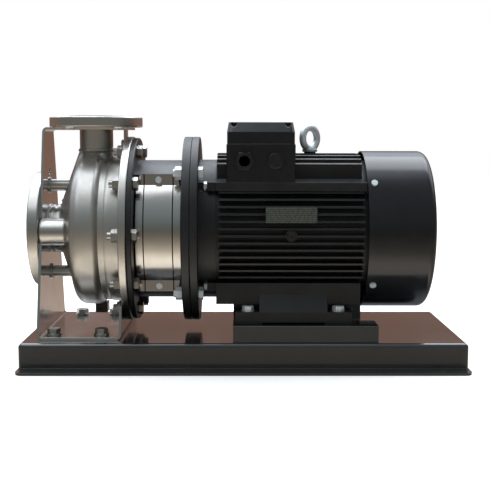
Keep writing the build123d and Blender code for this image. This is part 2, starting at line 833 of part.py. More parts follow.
def foot_bolts():
    shank, head, height, _ = m10
    seat = -foot_drop + foot_t
    shapes = []
    for x in foot_bolt_x:
        for side in (-1, 1):
            y = side * foot_bolt_y_spacing / 2
            washer = post(x, y, seat, seat + 2, 10.0) - post(x, y, seat - 1, seat + 3, shank)
            bolt = hex_post(x, y, seat + 2, seat + 2 + height, head)
            bolt = bolt + post(x, y, -foot_drop - 18, seat + 2, shank)
            shapes += [washer, bolt]
    return shapes


def shield_screws():
    shank, head, height, _ = m8
    seat = frame_start - shield_lug_t
    drive = hexagon(seat - height, seat, head) + disc(seat, frame_start + 16, shank)
    shank, head, height, _ = m6
    fan_side = hexagon(frame_end + 8, frame_end + 8 + height, head)
    fan_side = fan_side + disc(frame_end - 24, frame_end + 8, shank)
    return at_screws(drive) + ringed(fan_side, fan_shield_screw_r, fan_shield_angles())


def fan_shield_angles():
    a = fan_shield_screw_angle
    return (a, 180 - a, 180 + a, 360 - a)


def stator_core():
    return tube(stator_start, stator_start + stator_length, frame_bore_r, stator_bore_r)


def stator_winding():
    shapes = []
    for x0, x1 in (
        (stator_start - winding_reach, stator_start),
        (stator_start + stator_length, stator_start + stator_length + winding_reach),
    ):
        coil = tube(x0, x1, frame_bore_r - 9.0, stator_bore_r + 6.0)
        outer = coil.edges().filter_by(GeomType.CIRCLE)
        far_x = x0 if x0 < stator_start else x1
        ends = [e for e in outer if abs(e.center().X - far_x) < 0.01]
        shapes.append(fillet(ends, 7.0))
    return shapes


def fan_end_shield():
    outer_r = fan_bearing[3]
    x0 = frame_end
    shape = disc(x0 - 4, x0 + 1, frame_bore_r - spigot_gap)
    shape = shape + disc(x0, x0 + 8, frame_core_r)
    shape = shape + disc(x0, fan_bearing_x + fan_bearing[4] + 4, outer_r + 10.0)
    for a in cover_screw_angles():
        lug = block(x0 + 2, x0 + 20, -7, 7, frame_core_r - 14, fan_cover_r + 5)
        lug = lug & disc(x0, x0 + 30, fan_cover_r - fan_cover_sheet)
        shape = shape + Rot(a - 90, 0, 0) * lug
    cuts = [disc(x0 - 5, fan_bearing_x, shaft_body_r + 3.0)]
    cuts.append(disc(fan_bearing_x, fan_bearing_x + fan_bearing[4] + 1.5, outer_r))
    cuts.append(disc(fan_bearing_x, fan_bearing_x + 40, shaft_seat_r + 1.5))
    cuts += ringed(disc(x0 - 5, x0 + 9, m6[0]), fan_shield_screw_r, fan_shield_angles())
    for a in cover_screw_angles():
        cuts.append(cover_screw_shape(a, 2.5, 0.0))
    return cut_all(shape, cuts)


def cover_screw_angles():
    a = fan_cover_screw_angle
    return (a, 180 - a, 180 + a, 360 - a)


def cover_screw_shape(angle, shank_r, head_r):
    """Radial screw through the fan cover, or its hole when the head radius is 0."""
    start = fan_cover_r - 14
    body = Pos(0, 0, start) * Cylinder(shank_r, 14.0, align=LOW)
    if head_r:
        body = body + Pos(0, 0, fan_cover_r) * Cylinder(head_r, 3.0, align=LOW)
    placed = Pos(cover_start + 10, 0, 0) * body
    return Rot(angle - 90, 0, 0) * placed


def bearing_ring_pair(spec, x0):
    """Inner ring, outer ring and ball set of a deep-groove bearing."""
    bore, inner_r, outer_low, outer_r, width, ball_r, count = spec
    pitch = (inner_r + outer_low) / 2
    groove = Pos(x0 + width / 2, 0, 0) * Rot(0, 90, 0) * Torus(pitch, ball_r + race_gap)
    inner = tube(x0, x0 + width, inner_r, bore) - groove
    outer = tube(x0, x0 + width, outer_r, outer_low) - groove
    balls = tube(x0 + width / 2 - 4, x0 + width / 2 + 4, pitch + 1.2, pitch - 1.2)
    for i in range(count):
        a = 360 * i / count
        balls = balls + at_radius(Pos(x0 + width / 2, 0, 0) * Sphere(ball_r), pitch, a)
    return inner, outer, balls


def bearing_inner_rings():
    return [
        bearing_ring_pair(drive_bearing, drive_bearing_x)[0],
        bearing_ring_pair(fan_bearing, fan_bearing_x)[0],
    ]


def bearing_outer_rings():
    return [
        bearing_ring_pair(drive_bearing, drive_bearing_x)[1],
        bearing_ring_pair(fan_bearing, fan_bearing_x)[1],
    ]


def preload_spring():
    x0 = fan_bearing_x + fan_bearing[4]
    return tube(x0, x0 + 1.5, fan_bearing[3] - 0.5, fan_bearing[2] - 2.0)


def fan_cover():
    def cup(x0, x1, r, corner):
        edges = [
            Line((x0, 0), (x0, r)),
            Line((x0, r), (x1 - corner, r)),
            RadiusArc((x1 - corner, r), (x1, r - corner), corner),
            Line((x1, r - corner), (x1, 0)),
            Line((x1, 0), (x0, 0)),
        ]
        return revolve(Plane.XZ * make_face(edges), Axis.X, 360)

    t = fan_cover_sheet
    shape = cup(cover_start, cover_end, fan_cover_r, fan_cover_corner)
    shape = shape - cup(cover_start - 1, cover_end - t, fan_cover_r - t, fan_cover_corner - t)
    slot_length = grille_outer_r - grille_inner_r
    slot_middle = (grille_outer_r + grille_inner_r) / 2
    slot = extrude(SlotOverall(slot_length, grille_slot_w), 20)
    slot = Pos(cover_end - 10, 0, 0) * Rot(0, 90, 0) * Pos(slot_middle, 0, 0) * slot
    for i in range(grille_slots):
        shape = shape - Rot(360 * i / grille_slots, 0, 0) * slot
    for a in cover_screw_angles():
        shape = shape - cover_screw_shape(a, 2.7, 0.0)
    return shape


def fan_cover_screws():
    return [cover_screw_shape(a, 2.5, 5.0) for a in cover_screw_angles()]


# ---- terminal box and fittings ----
def box_underside(clearance):
    """Roof of the motor frame under the terminal box, raised by a clearance."""
    x0 = box_start - 5
    x1 = box_start + box_length + 5
    roof = disc(x0, x1, roof_r + clearance) & block(x0, x1, -200, 200, 0, roof_z + clearance)
    return roof + disc(x0, x1, fin_tip_r + clearance - 5)


def terminal_box():
    x0 = box_start
    x1 = box_start + box_length
    outer = block(x0, x1, box_near_y, box_far_y, box_bottom_z, box_top_z)
    outer = fillet(outer.edges().filter_by(Axis.Z), 4.0)
    outer = outer - box_underside(0)
    cavity = block(
        x0 + box_wall, x1 - box_wall, box_near_y + box_wall, box_far_y - box_wall,
        box_bottom_z + box_wall, box_top_z + 1,
    )
    shape = outer - (cavity - box_underside(box_wall))
    shape = shape - post((x0 + x1) / 2, 0, roof_z - 5, roof_z + box_wall + 1, 12.0)
    shape = shape - peg(gland_x, gland_z, box_near_y - 1, box_near_y + box_wall + 1, gland_hole_r)
    return shape - peg(plug_x, gland_z, box_near_y - 1, box_near_y + box_wall + 1, plug_hole_r)


def lid_plan(z, inset, corner, side_inset=None):
    """Plan of the lid at a height, with rounded corners; the sides may lean in less than the ends."""
    side = inset if side_inset is None else side_inset
    x0 = box_start + lid_inset + side
    x1 = box_start + box_length - lid_inset - side
    y0 = box_near_y + lid_inset + inset
    y1 = box_far_y - lid_inset - inset
    plan = RectangleRounded(x1 - x0, y1 - y0, corner) if corner else Rectangle(x1 - x0, y1 - y0)
    return Pos((x0 + x1) / 2, (y0 + y1) / 2, z) * plan


def lid_gasket():
    return extrude(lid_plan(box_top_z, 0, 4.0), gasket_t) - extrude(lid_plan(box_top_z - 1, 7, 0), 9)


def lid_screw_places():
    xs = (box_start + lid_screw_inset, box_start + box_length - lid_screw_inset)
    ys = (box_near_y + lid_screw_inset, box_far_y - lid_screw_inset)
    return [(x, y) for x in xs for y in ys]


def terminal_lid():
    z0 = box_top_z + gasket_t
    shape = extrude(lid_plan(z0, 0, lid_corner), lid_slope_z - z0)
    top = lid_plan(lid_top_z, lid_slope_in, lid_corner - 2, lid_side_in)
    slope = loft([lid_plan(lid_slope_z, 0, lid_corner), top])
    shape = shape + slope
    shape = shape - extrude(lid_plan(z0 - 1, 2 * lid_screw_inset - 4, 0), lid_top_z - box_wall - z0 + 1)
    for x, y in lid_screw_places():
        shape = shape - post(x, y, z0 - 1, lid_top_z + 1, lid_screw_r)
        shape = shape - post(x, y, lid_screw_seat_z, lid_top_z + 1, 2 * lid_screw_r)
    return shape


def lid_screws():
    shapes = []
    for x, y in lid_screw_places():
        shank = post(x, y, box_top_z + gasket_t, lid_screw_seat_z, lid_screw_r)
        head = post(x, y, lid_screw_seat_z, lid_screw_seat_z + 4, 2 * lid_screw_r - 0.3)
        shapes.append(shank + head)
    return shapes


def terminal_board():
    middle = box_start + box_length / 2
    low = roof_z + box_wall
    board = block(middle - 28, middle + 28, 13, 27, low, low + 8)
    for i in range(3):
        board = board + post(middle - 20 + 20 * i, 20, low + 7, low + 18, 2.5)
    return board


def cable_gland():
    y = box_near_y
    shape = peg(gland_x, gland_z, y, y + box_wall + 4, gland_hole_r - 0.1)
    shape = shape + hex_peg(gland_x, gland_z, y - 8, y, 15.5)
    shape = shape + peg(gland_x, gland_z, y - 20, y - 8, 12.0)
    return shape - peg(gland_x, gland_z, y - 21, y + box_wall + 5, cable_hole_r)


def blank_plug():
    y = box_near_y
    shape = peg(plug_x, gland_z, y, y + box_wall + 3, plug_hole_r - 0.1)
    head = peg(plug_x, gland_z, y - 5, y, 12.0)
    return fillet(head.edges().filter_by(GeomType.CIRCLE).group_by(Axis.Y)[0], 1.5) + shape


def eyebolt():
    turned_eye = Rot(0, 0, eye_turn) * Rot(90, 0, 0) * Torus(eye_ring_r, eye_wire_r)
    ring = Pos(eye_x, 0, eye_centre_z) * turned_eye
    collar = post(eye_x, 0, eye_boss_z, eye_boss_z + 5, eye_collar_r)
    collar = fillet(collar.edges().filter_by(GeomType.CIRCLE), 1.0)
    neck = post(eye_x, 0, eye_boss_z + 2, eye_centre_z - eye_ring_r + 2, 7.0)
    shank = post(eye_x, 0, eye_boss_z - 11, eye_boss_z, m10[0])
    return ring + collar + neck + shank


def nameplate():
    plate = block(*plate_x, -plate_pad_y - 1.2, -plate_pad_y, *plate_z)
    plate = fillet(plate.edges().filter_by(Axis.Y), 2.0)
    middle = (plate_z[0] + plate_z[1]) / 2
    shapes = [plate]
    for x in (plate_x[0] + 4, plate_x[1] - 4):
        dome = Pos(x, -plate_pad_y - 1.2, middle) * Rot(90, 0, 0) * Cylinder(2.0, 1.2, align=LOW)
        shapes.append(dome)
    return shapes


def earth_screw():
    face = -plate_pad_y
    head = hex_peg(earth_x, 0, face - 4, face, 6.5)
    shank = peg(earth_x, 0, face, face + 10, m8[0] * 0.75)
    return head + shank - hex_peg(earth_x, 0, face - 5, face - 2, 3.0)


# ---- rotor ----
def motor_shaft():
    seat0 = drive_bearing_x
    seat1 = drive_bearing_x + drive_bearing[4]
    shape = turned([
        (motor_face - shaft_extension, 0), (motor_face - shaft_extension, shaft_end_r),
        (seat0, shaft_end_r), (seat0, shaft_seat_r), (seat1, shaft_seat_r),
        (seat1, shaft_body_r), (fan_bearing_x, shaft_body_r), (fan_bearing_x, shaft_seat_r),
        (fan_bearing_x + fan_bearing[4] + 4, shaft_seat_r),
        (fan_bearing_x + fan_bearing[4] + 4, 17.0), (fan_start + 40, 17.0), (fan_start + 40, 0),
    ])
    return shape - coupling_key_shape()


def coupling_key_shape():
    x0 = motor_face - shaft_extension + 8
    return block(x0, x0 + 50, -5, 5, shaft_end_r - 5, shaft_end_r + 3)


def rotor_core():
    r = stator_bore_r - air_gap
    core = tube(stator_start, stator_start + stator_length, r, shaft_body_r)
    for x0, x1 in (
        (stator_start - 14, stator_start),
        (stator_start + stator_length, stator_start + stator_length + 14),
    ):
        core = core + tube(x0, x1, r - 2.0, r - 18.0)
    return core


def fan():
    shape = tube(fan_start, fan_start + 34, 28.0, 17.0)
    shape = shape + tube(fan_start + 14, fan_start + 17, fan_r - 12.0, 20.0)
    for i in range(fan_blades):
        blade = block(fan_start + 14, fan_start + 46, -1.5, 1.5, 26, fan_r)
        shape = shape + Rot(360 * i / fan_blades, 0, 0) * blade
    return shape


def stub_shaft():
    sleeve_x = motor_face - shaft_extension
    sleeve_end = motor_face - 18.0
    shape = turned([
        (hub_front - 13, 0), (hub_front - 13, thread_r), (hub_front, thread_r),
        (hub_front, impeller_bore_r), (impeller_back, impeller_bore_r),
        (impeller_back, stub_r), (sleeve_x - 4, stub_r), (sleeve_x - 4, stub_sleeve_r),
        (sleeve_end, stub_sleeve_r), (sleeve_end, 0),
    ])
    shape = shape - disc(sleeve_x, sleeve_end + 1, shaft_end_r)
    shape = shape - coupling_key_shape()
    for a in set_screw_angles():
        shape = shape - set_screw(a)
    return shape - impeller_key_shape()


def impeller_key_shape():
    return block(impeller_back - 30, impeller_back, -3, 3, impeller_bore_r - 3, impeller_bore_r + 3)


def rotor_keys():
    return [coupling_key_shape(), impeller_key_shape()]


def set_screw_angles():
    return (0, 180)


def set_screw(angle):
    length = stub_sleeve_r - shaft_end_r - 1.0
    screw = Pos(motor_face - 32, 0, shaft_end_r) * Cylinder(m8[0], length, align=LOW)
    return Rot(angle - 90, 0, 0) * screw


def stub_set_screws():
    return [set_screw(a) for a in set_screw_angles()]


def degrees_of(arc, r):
    """Angle that an arc length takes up at a radius."""
    return degrees(arc / r)


def vane_face():
    """Plan of one backward-curved vane: two arcs a vane's thickness apart."""
    inner = 36.0
    outer = impeller_r - 0.5

    def spot(r, angle):
        return (r * cos(radians(angle)), r * sin(radians(angle)))

    middle = (inner + outer) / 2 + 3
    lean_in = degrees_of(vane_t / 2, inner)
    lean_mid = lean_in * 0.75
    lean_out = lean_in * 0.6
    low = ThreePointArc(spot(inner, -lean_in), spot(middle, 32 - lean_mid), spot(outer, 78 - lean_out))
    high = ThreePointArc(spot(inner, lean_in), spot(middle, 32 + lean_mid), spot(outer, 78 + lean_out))
    first = Line(low @ 0, high @ 0)
    last = Line(low @ 1, high @ 1)
    return make_face([low, last, high, first])


def impeller():
    back = disc(impeller_back - shroud_t, impeller_back, impeller_r)
    hub = disc(hub_front, impeller_back, impeller_hub_r)
    front = tube(shroud_front, shroud_front + shroud_t, impeller_r, impeller_eye_r - 3.5)
    eye = tube(impeller_front, shroud_front + 1, impeller_eye_r, impeller_eye_r - 3.5)
    shape = back + hub
    shape = shape + front
    shape = shape + eye
    vane = Pos(shroud_front + shroud_t - 0.5, 0, 0) * Rot(0, 90, 0) * extrude(vane_face(), impeller_width + 1)
    for i in range(vane_count):
        shape = shape + Rot(360 * i / vane_count, 0, 0) * vane
    shape = shape - disc(impeller_front, impeller_back + 1, impeller_bore_r)
    return shape - impeller_key_shape()


def impeller_nut():
    x1 = hub_front
    nut = hexagon(x1 - 12, x1 - 2, 13.5) - disc(x1 - 13, x1, thread_r)
    washer = tube(x1 - 2, x1, 17.0, thread_r)
    return [nut, washer]


def seal_head():
    start = impeller_back
    face = seal_seat_x - 5.7 - seal_face_gap
    collar = tube(start, start + 4, impeller_hub_r, stub_r)
    bellows = tube(start + 4, face - 6, 17.0, stub_r)
    for i in range(3):
        x = start + 6 + i * 4.0
        bellows = bellows + tube(x, x + 2.2, 19.5, stub_r)
    ring = tube(face - 6, face, 18.5, stub_r)
    return [collar, bellows, ring]


place = Pos(-(base_x0 + base_x1) / 2, 0, shaft_height)
nodes = {
    "base_frame": base_frame,
    "motor_rails": motor_rails,
    "support_bracket": support_bracket,
    "bracket_bolts": bracket_bolts,
    "standoff_rods": standoff_rods,
    "standoff_washers": standoff_washers,
    "side_spacers": side_spacers,
    "suction_flange": suction_flange,
    "suction_pipe": suction_pipe,
    "volute_casing": volute_casing,
    "discharge_neck": discharge_neck,
    "discharge_flange": discharge_flange,
    "casing_flange": casing_flange,
    "drain_block": drain_block,
    "drain_plug": drain_plug,
    "casing_bolts": casing_bolts,
    "casing_nuts": casing_nuts,
    "pump_cover": pump_cover,
    "wear_ring": wear_ring,
    "seal_seat": seal_seat,
    "seat_o_ring": seat_o_ring,
    "lantern": lantern,
    "coupling_guard_front": lambda: coupling_guard(-1),
    "coupling_guard_rear": lambda: coupling_guard(1),
    "guard_screws": guard_screws,
    "flange_bolts": flange_bolts,
    "flange_nuts": flange_nuts,
    "drive_end_shield": drive_end_shield,
    "motor_frame": motor_frame,
    "foot_bolts": foot_bolts,
    "shield_screws": shield_screws,
    "stator_core": stator_core,
    "stator_winding": stator_winding,
    "fan_end_shield": fan_end_shield,
    "bearing_outer_rings": bearing_outer_rings,
    "preload_spring": preload_spring,
    "fan_cover": fan_cover,
    "fan_cover_screws": fan_cover_screws,
    "terminal_box": terminal_box,
    "lid_gasket": lid_gasket,
    "terminal_lid": terminal_lid,
    "lid_screws": lid_screws,
    "terminal_board": terminal_board,
    "cable_gland": cable_gland,
    "blank_plug": blank_plug,
    "eyebolt": eyebolt,
    "nameplate": nameplate,
    "earth_screw": earth_screw,
    "motor_shaft": motor_shaft,
    "rotor_core": rotor_core,
    "fan": fan,
    "stub_shaft": stub_shaft,
    "stub_set_screws": stub_set_screws,
    "rotor_keys": rotor_keys,
    "impeller": impeller,
    "impeller_nut": impeller_nut,
    "seal_head": seal_head,
    "bearing_inner_rings": bearing_inner_rings,
    "drive_ball_set": lambda: bearing_ring_pair(drive_bearing, drive_bearing_x)[2],
    "fan_ball_set": lambda: bearing_ring_pair(fan_bearing, fan_bearing_x)[2],
}

os.makedirs("parts", exist_ok=True)
for name, make in nodes.items():
    made = make()
    shapes = made if isinstance(made, list) else [made]
    solids = [place * solid for shape in shapes for solid in shape.solids()]
    export_step(Compound(solids), os.path.join("parts", name + ".step"))
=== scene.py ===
"""Finishes, pressed casing, welds, thread ends and studio for a close-coupled centrifugal pump.

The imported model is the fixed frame: every size is in metres, the shaft lies along X at shaft height,
and the pump end is at -X. Each group of pieces has its own operator, and main() runs them in order.
"""
import math

import bmesh
import bpy
import numpy as np
from mathutils import Matrix, Vector


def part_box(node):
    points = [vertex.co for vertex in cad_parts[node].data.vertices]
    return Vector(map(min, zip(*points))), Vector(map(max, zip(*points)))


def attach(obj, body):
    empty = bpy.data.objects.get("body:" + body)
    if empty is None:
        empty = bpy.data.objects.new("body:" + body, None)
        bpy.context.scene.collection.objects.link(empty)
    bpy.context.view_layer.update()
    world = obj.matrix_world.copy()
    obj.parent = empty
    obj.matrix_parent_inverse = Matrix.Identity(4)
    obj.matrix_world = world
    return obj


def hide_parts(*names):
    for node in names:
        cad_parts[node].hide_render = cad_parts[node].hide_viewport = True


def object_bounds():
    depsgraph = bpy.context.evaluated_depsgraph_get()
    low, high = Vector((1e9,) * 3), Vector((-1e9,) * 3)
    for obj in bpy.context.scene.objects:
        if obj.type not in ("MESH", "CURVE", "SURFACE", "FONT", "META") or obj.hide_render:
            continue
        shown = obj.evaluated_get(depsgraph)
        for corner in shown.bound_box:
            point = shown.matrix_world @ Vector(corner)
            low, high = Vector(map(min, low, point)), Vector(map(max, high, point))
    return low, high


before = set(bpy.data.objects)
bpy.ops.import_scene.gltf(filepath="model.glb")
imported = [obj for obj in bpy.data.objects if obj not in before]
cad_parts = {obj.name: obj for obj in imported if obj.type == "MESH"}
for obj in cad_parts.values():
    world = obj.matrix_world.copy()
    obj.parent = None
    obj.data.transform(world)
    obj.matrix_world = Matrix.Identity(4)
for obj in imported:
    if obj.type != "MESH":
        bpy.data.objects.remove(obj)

bl_info = {
    "name": "Pump finishes",
    "version": (1, 0, 0),
    "blender": (4, 5, 0),
    "location": "3D View > Sidebar > Pump",
    "description": "Dresses a packed centrifugal pump with its finishes, welds and studio",
    "category": "Object",
}

CAD_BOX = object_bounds()
MM = 0.001
SHAFT_Z = sum(c.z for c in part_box("motor_shaft")) / 2
PORT_X = sum(c.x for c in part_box("discharge_neck")) / 2
CASING_X0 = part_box("volute_casing")[0].x
CASING_X1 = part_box("volute_casing")[1].x


# ---------------------------------------------------------------- settings
class PumpCastingSettings(bpy.types.PropertyGroup):
    """Sizes of the pressed casing skin."""

    wall: bpy.props.FloatProperty(
        name="Wall", description="Sheet thickness of the casing", default=3.5 * MM, unit="LENGTH"
    )
    dish_r: bpy.props.FloatProperty(
        name="Dish radius", description="Radius at which the dished front ends",
        default=106 * MM, unit="LENGTH",
    )
    dish_depth: bpy.props.FloatProperty(
        name="Dish depth", description="Depth of the dished front along the shaft",
        default=25 * MM, unit="LENGTH",
    )
    bulge: bpy.props.FloatProperty(
        name="Bulge", description="Largest radius of the casing", default=124.3 * MM, unit="LENGTH"
    )
    throat: bpy.props.FloatProperty(
        name="Throat", description="Radius where the casing meets its flange",
        default=118.5 * MM, unit="LENGTH",
    )
    port: bpy.props.FloatProperty(
        name="Port", description="Radius of the discharge neck", default=27 * MM, unit="LENGTH"
    )
    neck_foot: bpy.props.FloatProperty(
        name="Neck foot", description="Height of the neck's foot above the shaft",
        default=128 * MM, unit="LENGTH",
    )


class PumpDetailSettings(bpy.types.PropertyGroup):
    """Sizes of welds and thread ends."""

    bead: bpy.props.FloatProperty(
        name="Weld bead", description="Half width of a weld bead", default=2.3 * MM, unit="LENGTH"
    )
    ripple: bpy.props.FloatProperty(
        name="Weld ripple", description="Distance between the ripples of a bead",
        default=2.6 * MM, unit="LENGTH",
    )
    pitch: bpy.props.FloatProperty(
        name="Thread pitch", description="Pitch of the large bolts", default=1.75 * MM, unit="LENGTH"
    )


class PumpFinishSettings(bpy.types.PropertyGroup):
    """Colours of the painted and bare finishes."""

    paint: bpy.props.FloatVectorProperty(
        name="Paint", description="Colour of the satin black paint", subtype="COLOR",
        size=3, min=0, max=1, default=(0.0055, 0.0056, 0.0062),
    )
    enamel: bpy.props.FloatVectorProperty(
        name="Base enamel", description="Colour of the glossy base", subtype="COLOR",
        size=3, min=0, max=1, default=(0.021, 0.022, 0.021),
    )
    stainless: bpy.props.FloatVectorProperty(
        name="Stainless", description="Colour of bare stainless steel", subtype="COLOR",
        size=3, min=0, max=1, default=(0.60, 0.585, 0.56),
    )
    zinc: bpy.props.FloatVectorProperty(
        name="Zinc", description="Colour of zinc plating", subtype="COLOR",
        size=3, min=0, max=1, default=(0.70, 0.74, 0.75),
    )


# ---------------------------------------------------------------- meshes
def grid_faces(rows, columns, close_rows, close_columns):
    """Quads of a grid of points: four corner numbers for each cell, as one array."""
    i = np.arange(rows if close_rows else rows - 1)[:, None]
    j = np.arange(columns if close_columns else columns - 1)[None, :]
    i2, j2 = (i + 1) % rows, (j + 1) % columns
    return np.stack(
        np.broadcast_arrays(i * columns + j, i2 * columns + j, i2 * columns + j2, i * columns + j2), -1
    ).reshape(-1, 4)


def add_piece(name, points, faces, body, material, smooth_deg=None):
    """A mesh object made of whole arrays, with its material and slot, riding on a body."""
    mesh = bpy.data.meshes.new(name)
    mesh.from_pydata(np.asarray(points, float).reshape(-1, 3), [], np.asarray(faces).reshape(-1, 4).tolist())
    mesh.update()
    mesh.validate()
    piece = bpy.data.objects.new(name, mesh)
    bpy.context.scene.collection.objects.link(piece)
    mesh.materials.append(material)
    mesh.shade_smooth()
    if smooth_deg:
        mesh.set_sharp_from_angle(angle=math.radians(smooth_deg))
    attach(piece, body)
    return piece


def smooth_step(value, low, high):
    """0 below low, 1 above high, and an S-curve between."""
    t = np.clip((value - low) / (high - low), 0, 1)
    return t * t * (3 - 2 * t)


# ---------------------------------------------------------------- casing
def casing_outline(s, front_x, back_x, shape):
    """Point on the casing's section: out along the dished front, whose innermost share is flat, round a
    quarter ellipse to the bulge, then back to the flange with an S-curve down to the throat and a shallow groove before it.
    s runs from 0 to 3, one unit for each part."""
    dish_x = front_x + shape.dish_depth
    bulge_x = front_x + 43 * MM
    eye = 34 * MM
    quarter = np.clip(s - 1, 0, 1) * math.pi / 2
    tail = np.clip(s - 2, 0, 1)
    out = np.clip(s, 0, 1)
    flat = 7 / 72
    lean = shape.dish_depth * np.maximum(out - flat, 0) / (1 - flat)
    x = np.where(s < 1, front_x + lean, bulge_x - (bulge_x - dish_x) * np.cos(quarter))
    shoulder = shape.dish_r + (shape.bulge - shape.dish_r) * np.sin(quarter) ** 0.9
    r = np.where(s < 1, eye + (shape.dish_r - eye) * s, shoulder)
    x = x + (back_x - bulge_x) * tail
    start = bulge_x + 18 * MM
    r = r - (shape.bulge - shape.throat) * smooth_step(x, start, start + 13 * MM)
    r = r - 3.6 * MM * np.exp(-(((x - start - 13 * MM) / (5.5 * MM)) ** 2))
    return x, r


def flare_reach(x, angle, base_r, shape):
    """Height above the shaft at which a ray from it leaves the neck's flare.
    The flare's level section is an ellipse whose half axes grow as it comes down to the casing:
    along X by a third of the drop, and across by a quick power of it. The ray's end is found by
    halving the span between the casing and the neck's foot until it closes on the ellipse."""
    top = shape.neck_foot
    cosine = np.maximum(np.cos(angle), 1e-3)
    low, high = base_r * 0.9, top / cosine

    def outside(r):
        drop = np.clip(top - r * cosine, 0, None)
        half_x = shape.port + 0.36 * drop
        half_y = shape.port + 10 * MM * (drop / (8 * MM)) ** 0.55
        return ((x - PORT_X) / half_x) ** 2 + (r * np.sin(angle) / half_y) ** 2 > 1

    hits = (np.cos(angle) > 0.5) & ~outside(low)
    inside_top = ~outside(high)
    a, b = low.copy(), high.copy()
    for _ in range(26):
        middle = (a + b) / 2
        out = outside(middle)
        a, b = np.where(out, a, middle), np.where(out, middle, b)
    return np.where(hits, np.where(inside_top, high, a), 0.0)


def casing_points(shape):
    """The casing's outer surface: the outline turned about the shaft, blended with the neck's flare
    by a smooth maximum of the two radii, on a grid of outline steps by turns."""
    s = np.concatenate([np.linspace(0, 1, 16)[:-1], np.linspace(1, 2, 44)[:-1], np.linspace(2, 3, 64)])
    near = np.linspace(-0.62, 0.62, 151)
    far = np.linspace(0.62, 2 * math.pi - 0.62, 121)[1:-1]
    angle = np.concatenate([near, far])
    x, r = casing_outline(s[:, None] + 0 * angle, CASING_X0, CASING_X1, shape)
    turn = angle[None, :] + 0 * x
    flare = flare_reach(x, turn, r, shape)
    blend = 5 * MM
    swell = np.clip(0.5 + 0.5 * (flare - r) / blend, 0, 1)
    radius = r * (1 - swell) + np.maximum(flare, r) * swell
    radius = radius + blend * swell * (1 - swell) * (flare > 0)
    radius = np.where(flare > 0, np.minimum(radius, shape.neck_foot / np.maximum(np.cos(turn), 0.5)), radius)
    return np.stack([x, radius * np.sin(turn), SHAFT_Z + radius * np.cos(turn)], -1)


def shell(outer, wall, hole):
    """A closed sheet from a grid that goes once round: a copy of the grid set in by the wall along the
    surface's own normal, rims at both ends, and cells marked in hole left open with their edges walled."""
    rows, columns = outer.shape[:2]
    along = np.gradient(outer, axis=0)
    around = np.roll(outer, -1, 1) - np.roll(outer, 1, 1)
    normal = np.cross(around, along)
    normal /= np.maximum(np.linalg.norm(normal, axis=-1, keepdims=True), 1e-12)
    centre = np.array([(CASING_X0 + CASING_X1) / 2, 0, SHAFT_Z])
    if (normal * (outer - centre)).sum() < 0:
        normal = -normal
    inner = outer - wall * normal
    count = rows * columns
    quads = grid_faces(rows, columns, False, True)
    keep = ~hole.reshape(-1)
    grid = quads[keep]
    k = np.arange(columns)
    k2 = (k + 1) % columns
    last = (rows - 1) * columns
    rims = [np.stack([k, k2, k2 + count, k + count], -1)]
    rims.append(np.stack([last + k2, last + k, last + k + count, last + k2 + count], -1))
    down = np.argwhere(hole[1:] != hole[:-1]) + [1, 0]
    a = down[:, 0] * columns + down[:, 1]
    b = down[:, 0] * columns + (down[:, 1] + 1) % columns
    rims.append(np.stack([a, b, b + count, a + count], -1))
    side = np.argwhere(hole != np.roll(hole, 1, 1))
    a = side[:, 0] * columns + side[:, 1]
    rims.append(np.stack([a, a + columns, a + columns + count, a + count], -1))
    points = np.concatenate([outer.reshape(-1, 3), inner.reshape(-1, 3)])
    return points, np.concatenate([grid, grid[:, ::-1] + count, *rims])


def face_out(piece):
    """Turns every face outward on a closed mesh, after its doubles are merged."""
    built = bmesh.new()
    built.from_mesh(piece.data)
    bmesh.ops.remove_doubles(built, verts=built.verts, dist=1e-6)
    loose = [v for v in built.verts if not v.link_faces]
    bmesh.ops.delete(built, geom=loose, context="VERTS")
    bmesh.ops.recalc_face_normals(built, faces=built.faces)
    built.to_mesh(piece.data)
    built.free()
    piece.data.update()


def lathe(outline, steps, axis, centre):
    """A closed outline of (place along the axis, radius) turned once about an axis through a centre."""
    place, radius = np.asarray(outline, float).T
    turn = np.linspace(0, 2 * math.pi, steps, endpoint=False)[:, None]
    a, b, c = radius * np.cos(turn), radius * np.sin(turn), place + 0 * turn
    points = np.stack({"X": (c, a, b), "Z": (a, b, c)}[axis], -1) + np.asarray(centre)
    return points, grid_faces(steps, len(radius), True, True)


def weld_bead(ring_r, half, ripple, axis, centre, seed):
    """A bead laid round a pipe: a ring whose section swells and drops once for each ripple, as a
    saw-toothed wave with rounded crests, and wanders a little with the sum of three slow waves."""
    count = max(24, int(round(2 * math.pi * ring_r / ripple)))
    u = np.linspace(0, 2 * math.pi, count * 9, endpoint=False)[:, None]
    v = np.linspace(0, 2 * math.pi, 14, endpoint=False)[None, :]
    wander = sum(np.sin(k * u + seed * k * 1.7) / k for k in (3, 7, 13)) * 0.10
    phase = (u * count / (2 * math.pi) + 0.35 * np.abs(np.sin(v)) + 0.25 * wander) % 1.0
    scale = 0.86 + 0.16 * np.sin(math.pi * phase) ** 0.6 + 0.06 * wander
    section = half * scale
    r = ring_r + 0.25 * half * wander + section * np.cos(v)
    h = 1.15 * section * np.sin(v)
    points = {
        "X": (h + 0 * u, r * np.cos(u), r * np.sin(u)),
        "Z": (r * np.cos(u), r * np.sin(u), h + 0 * u),
    }[axis]
    return np.stack(points, -1) + np.asarray(centre), grid_faces(count * 9, 14, True, True)


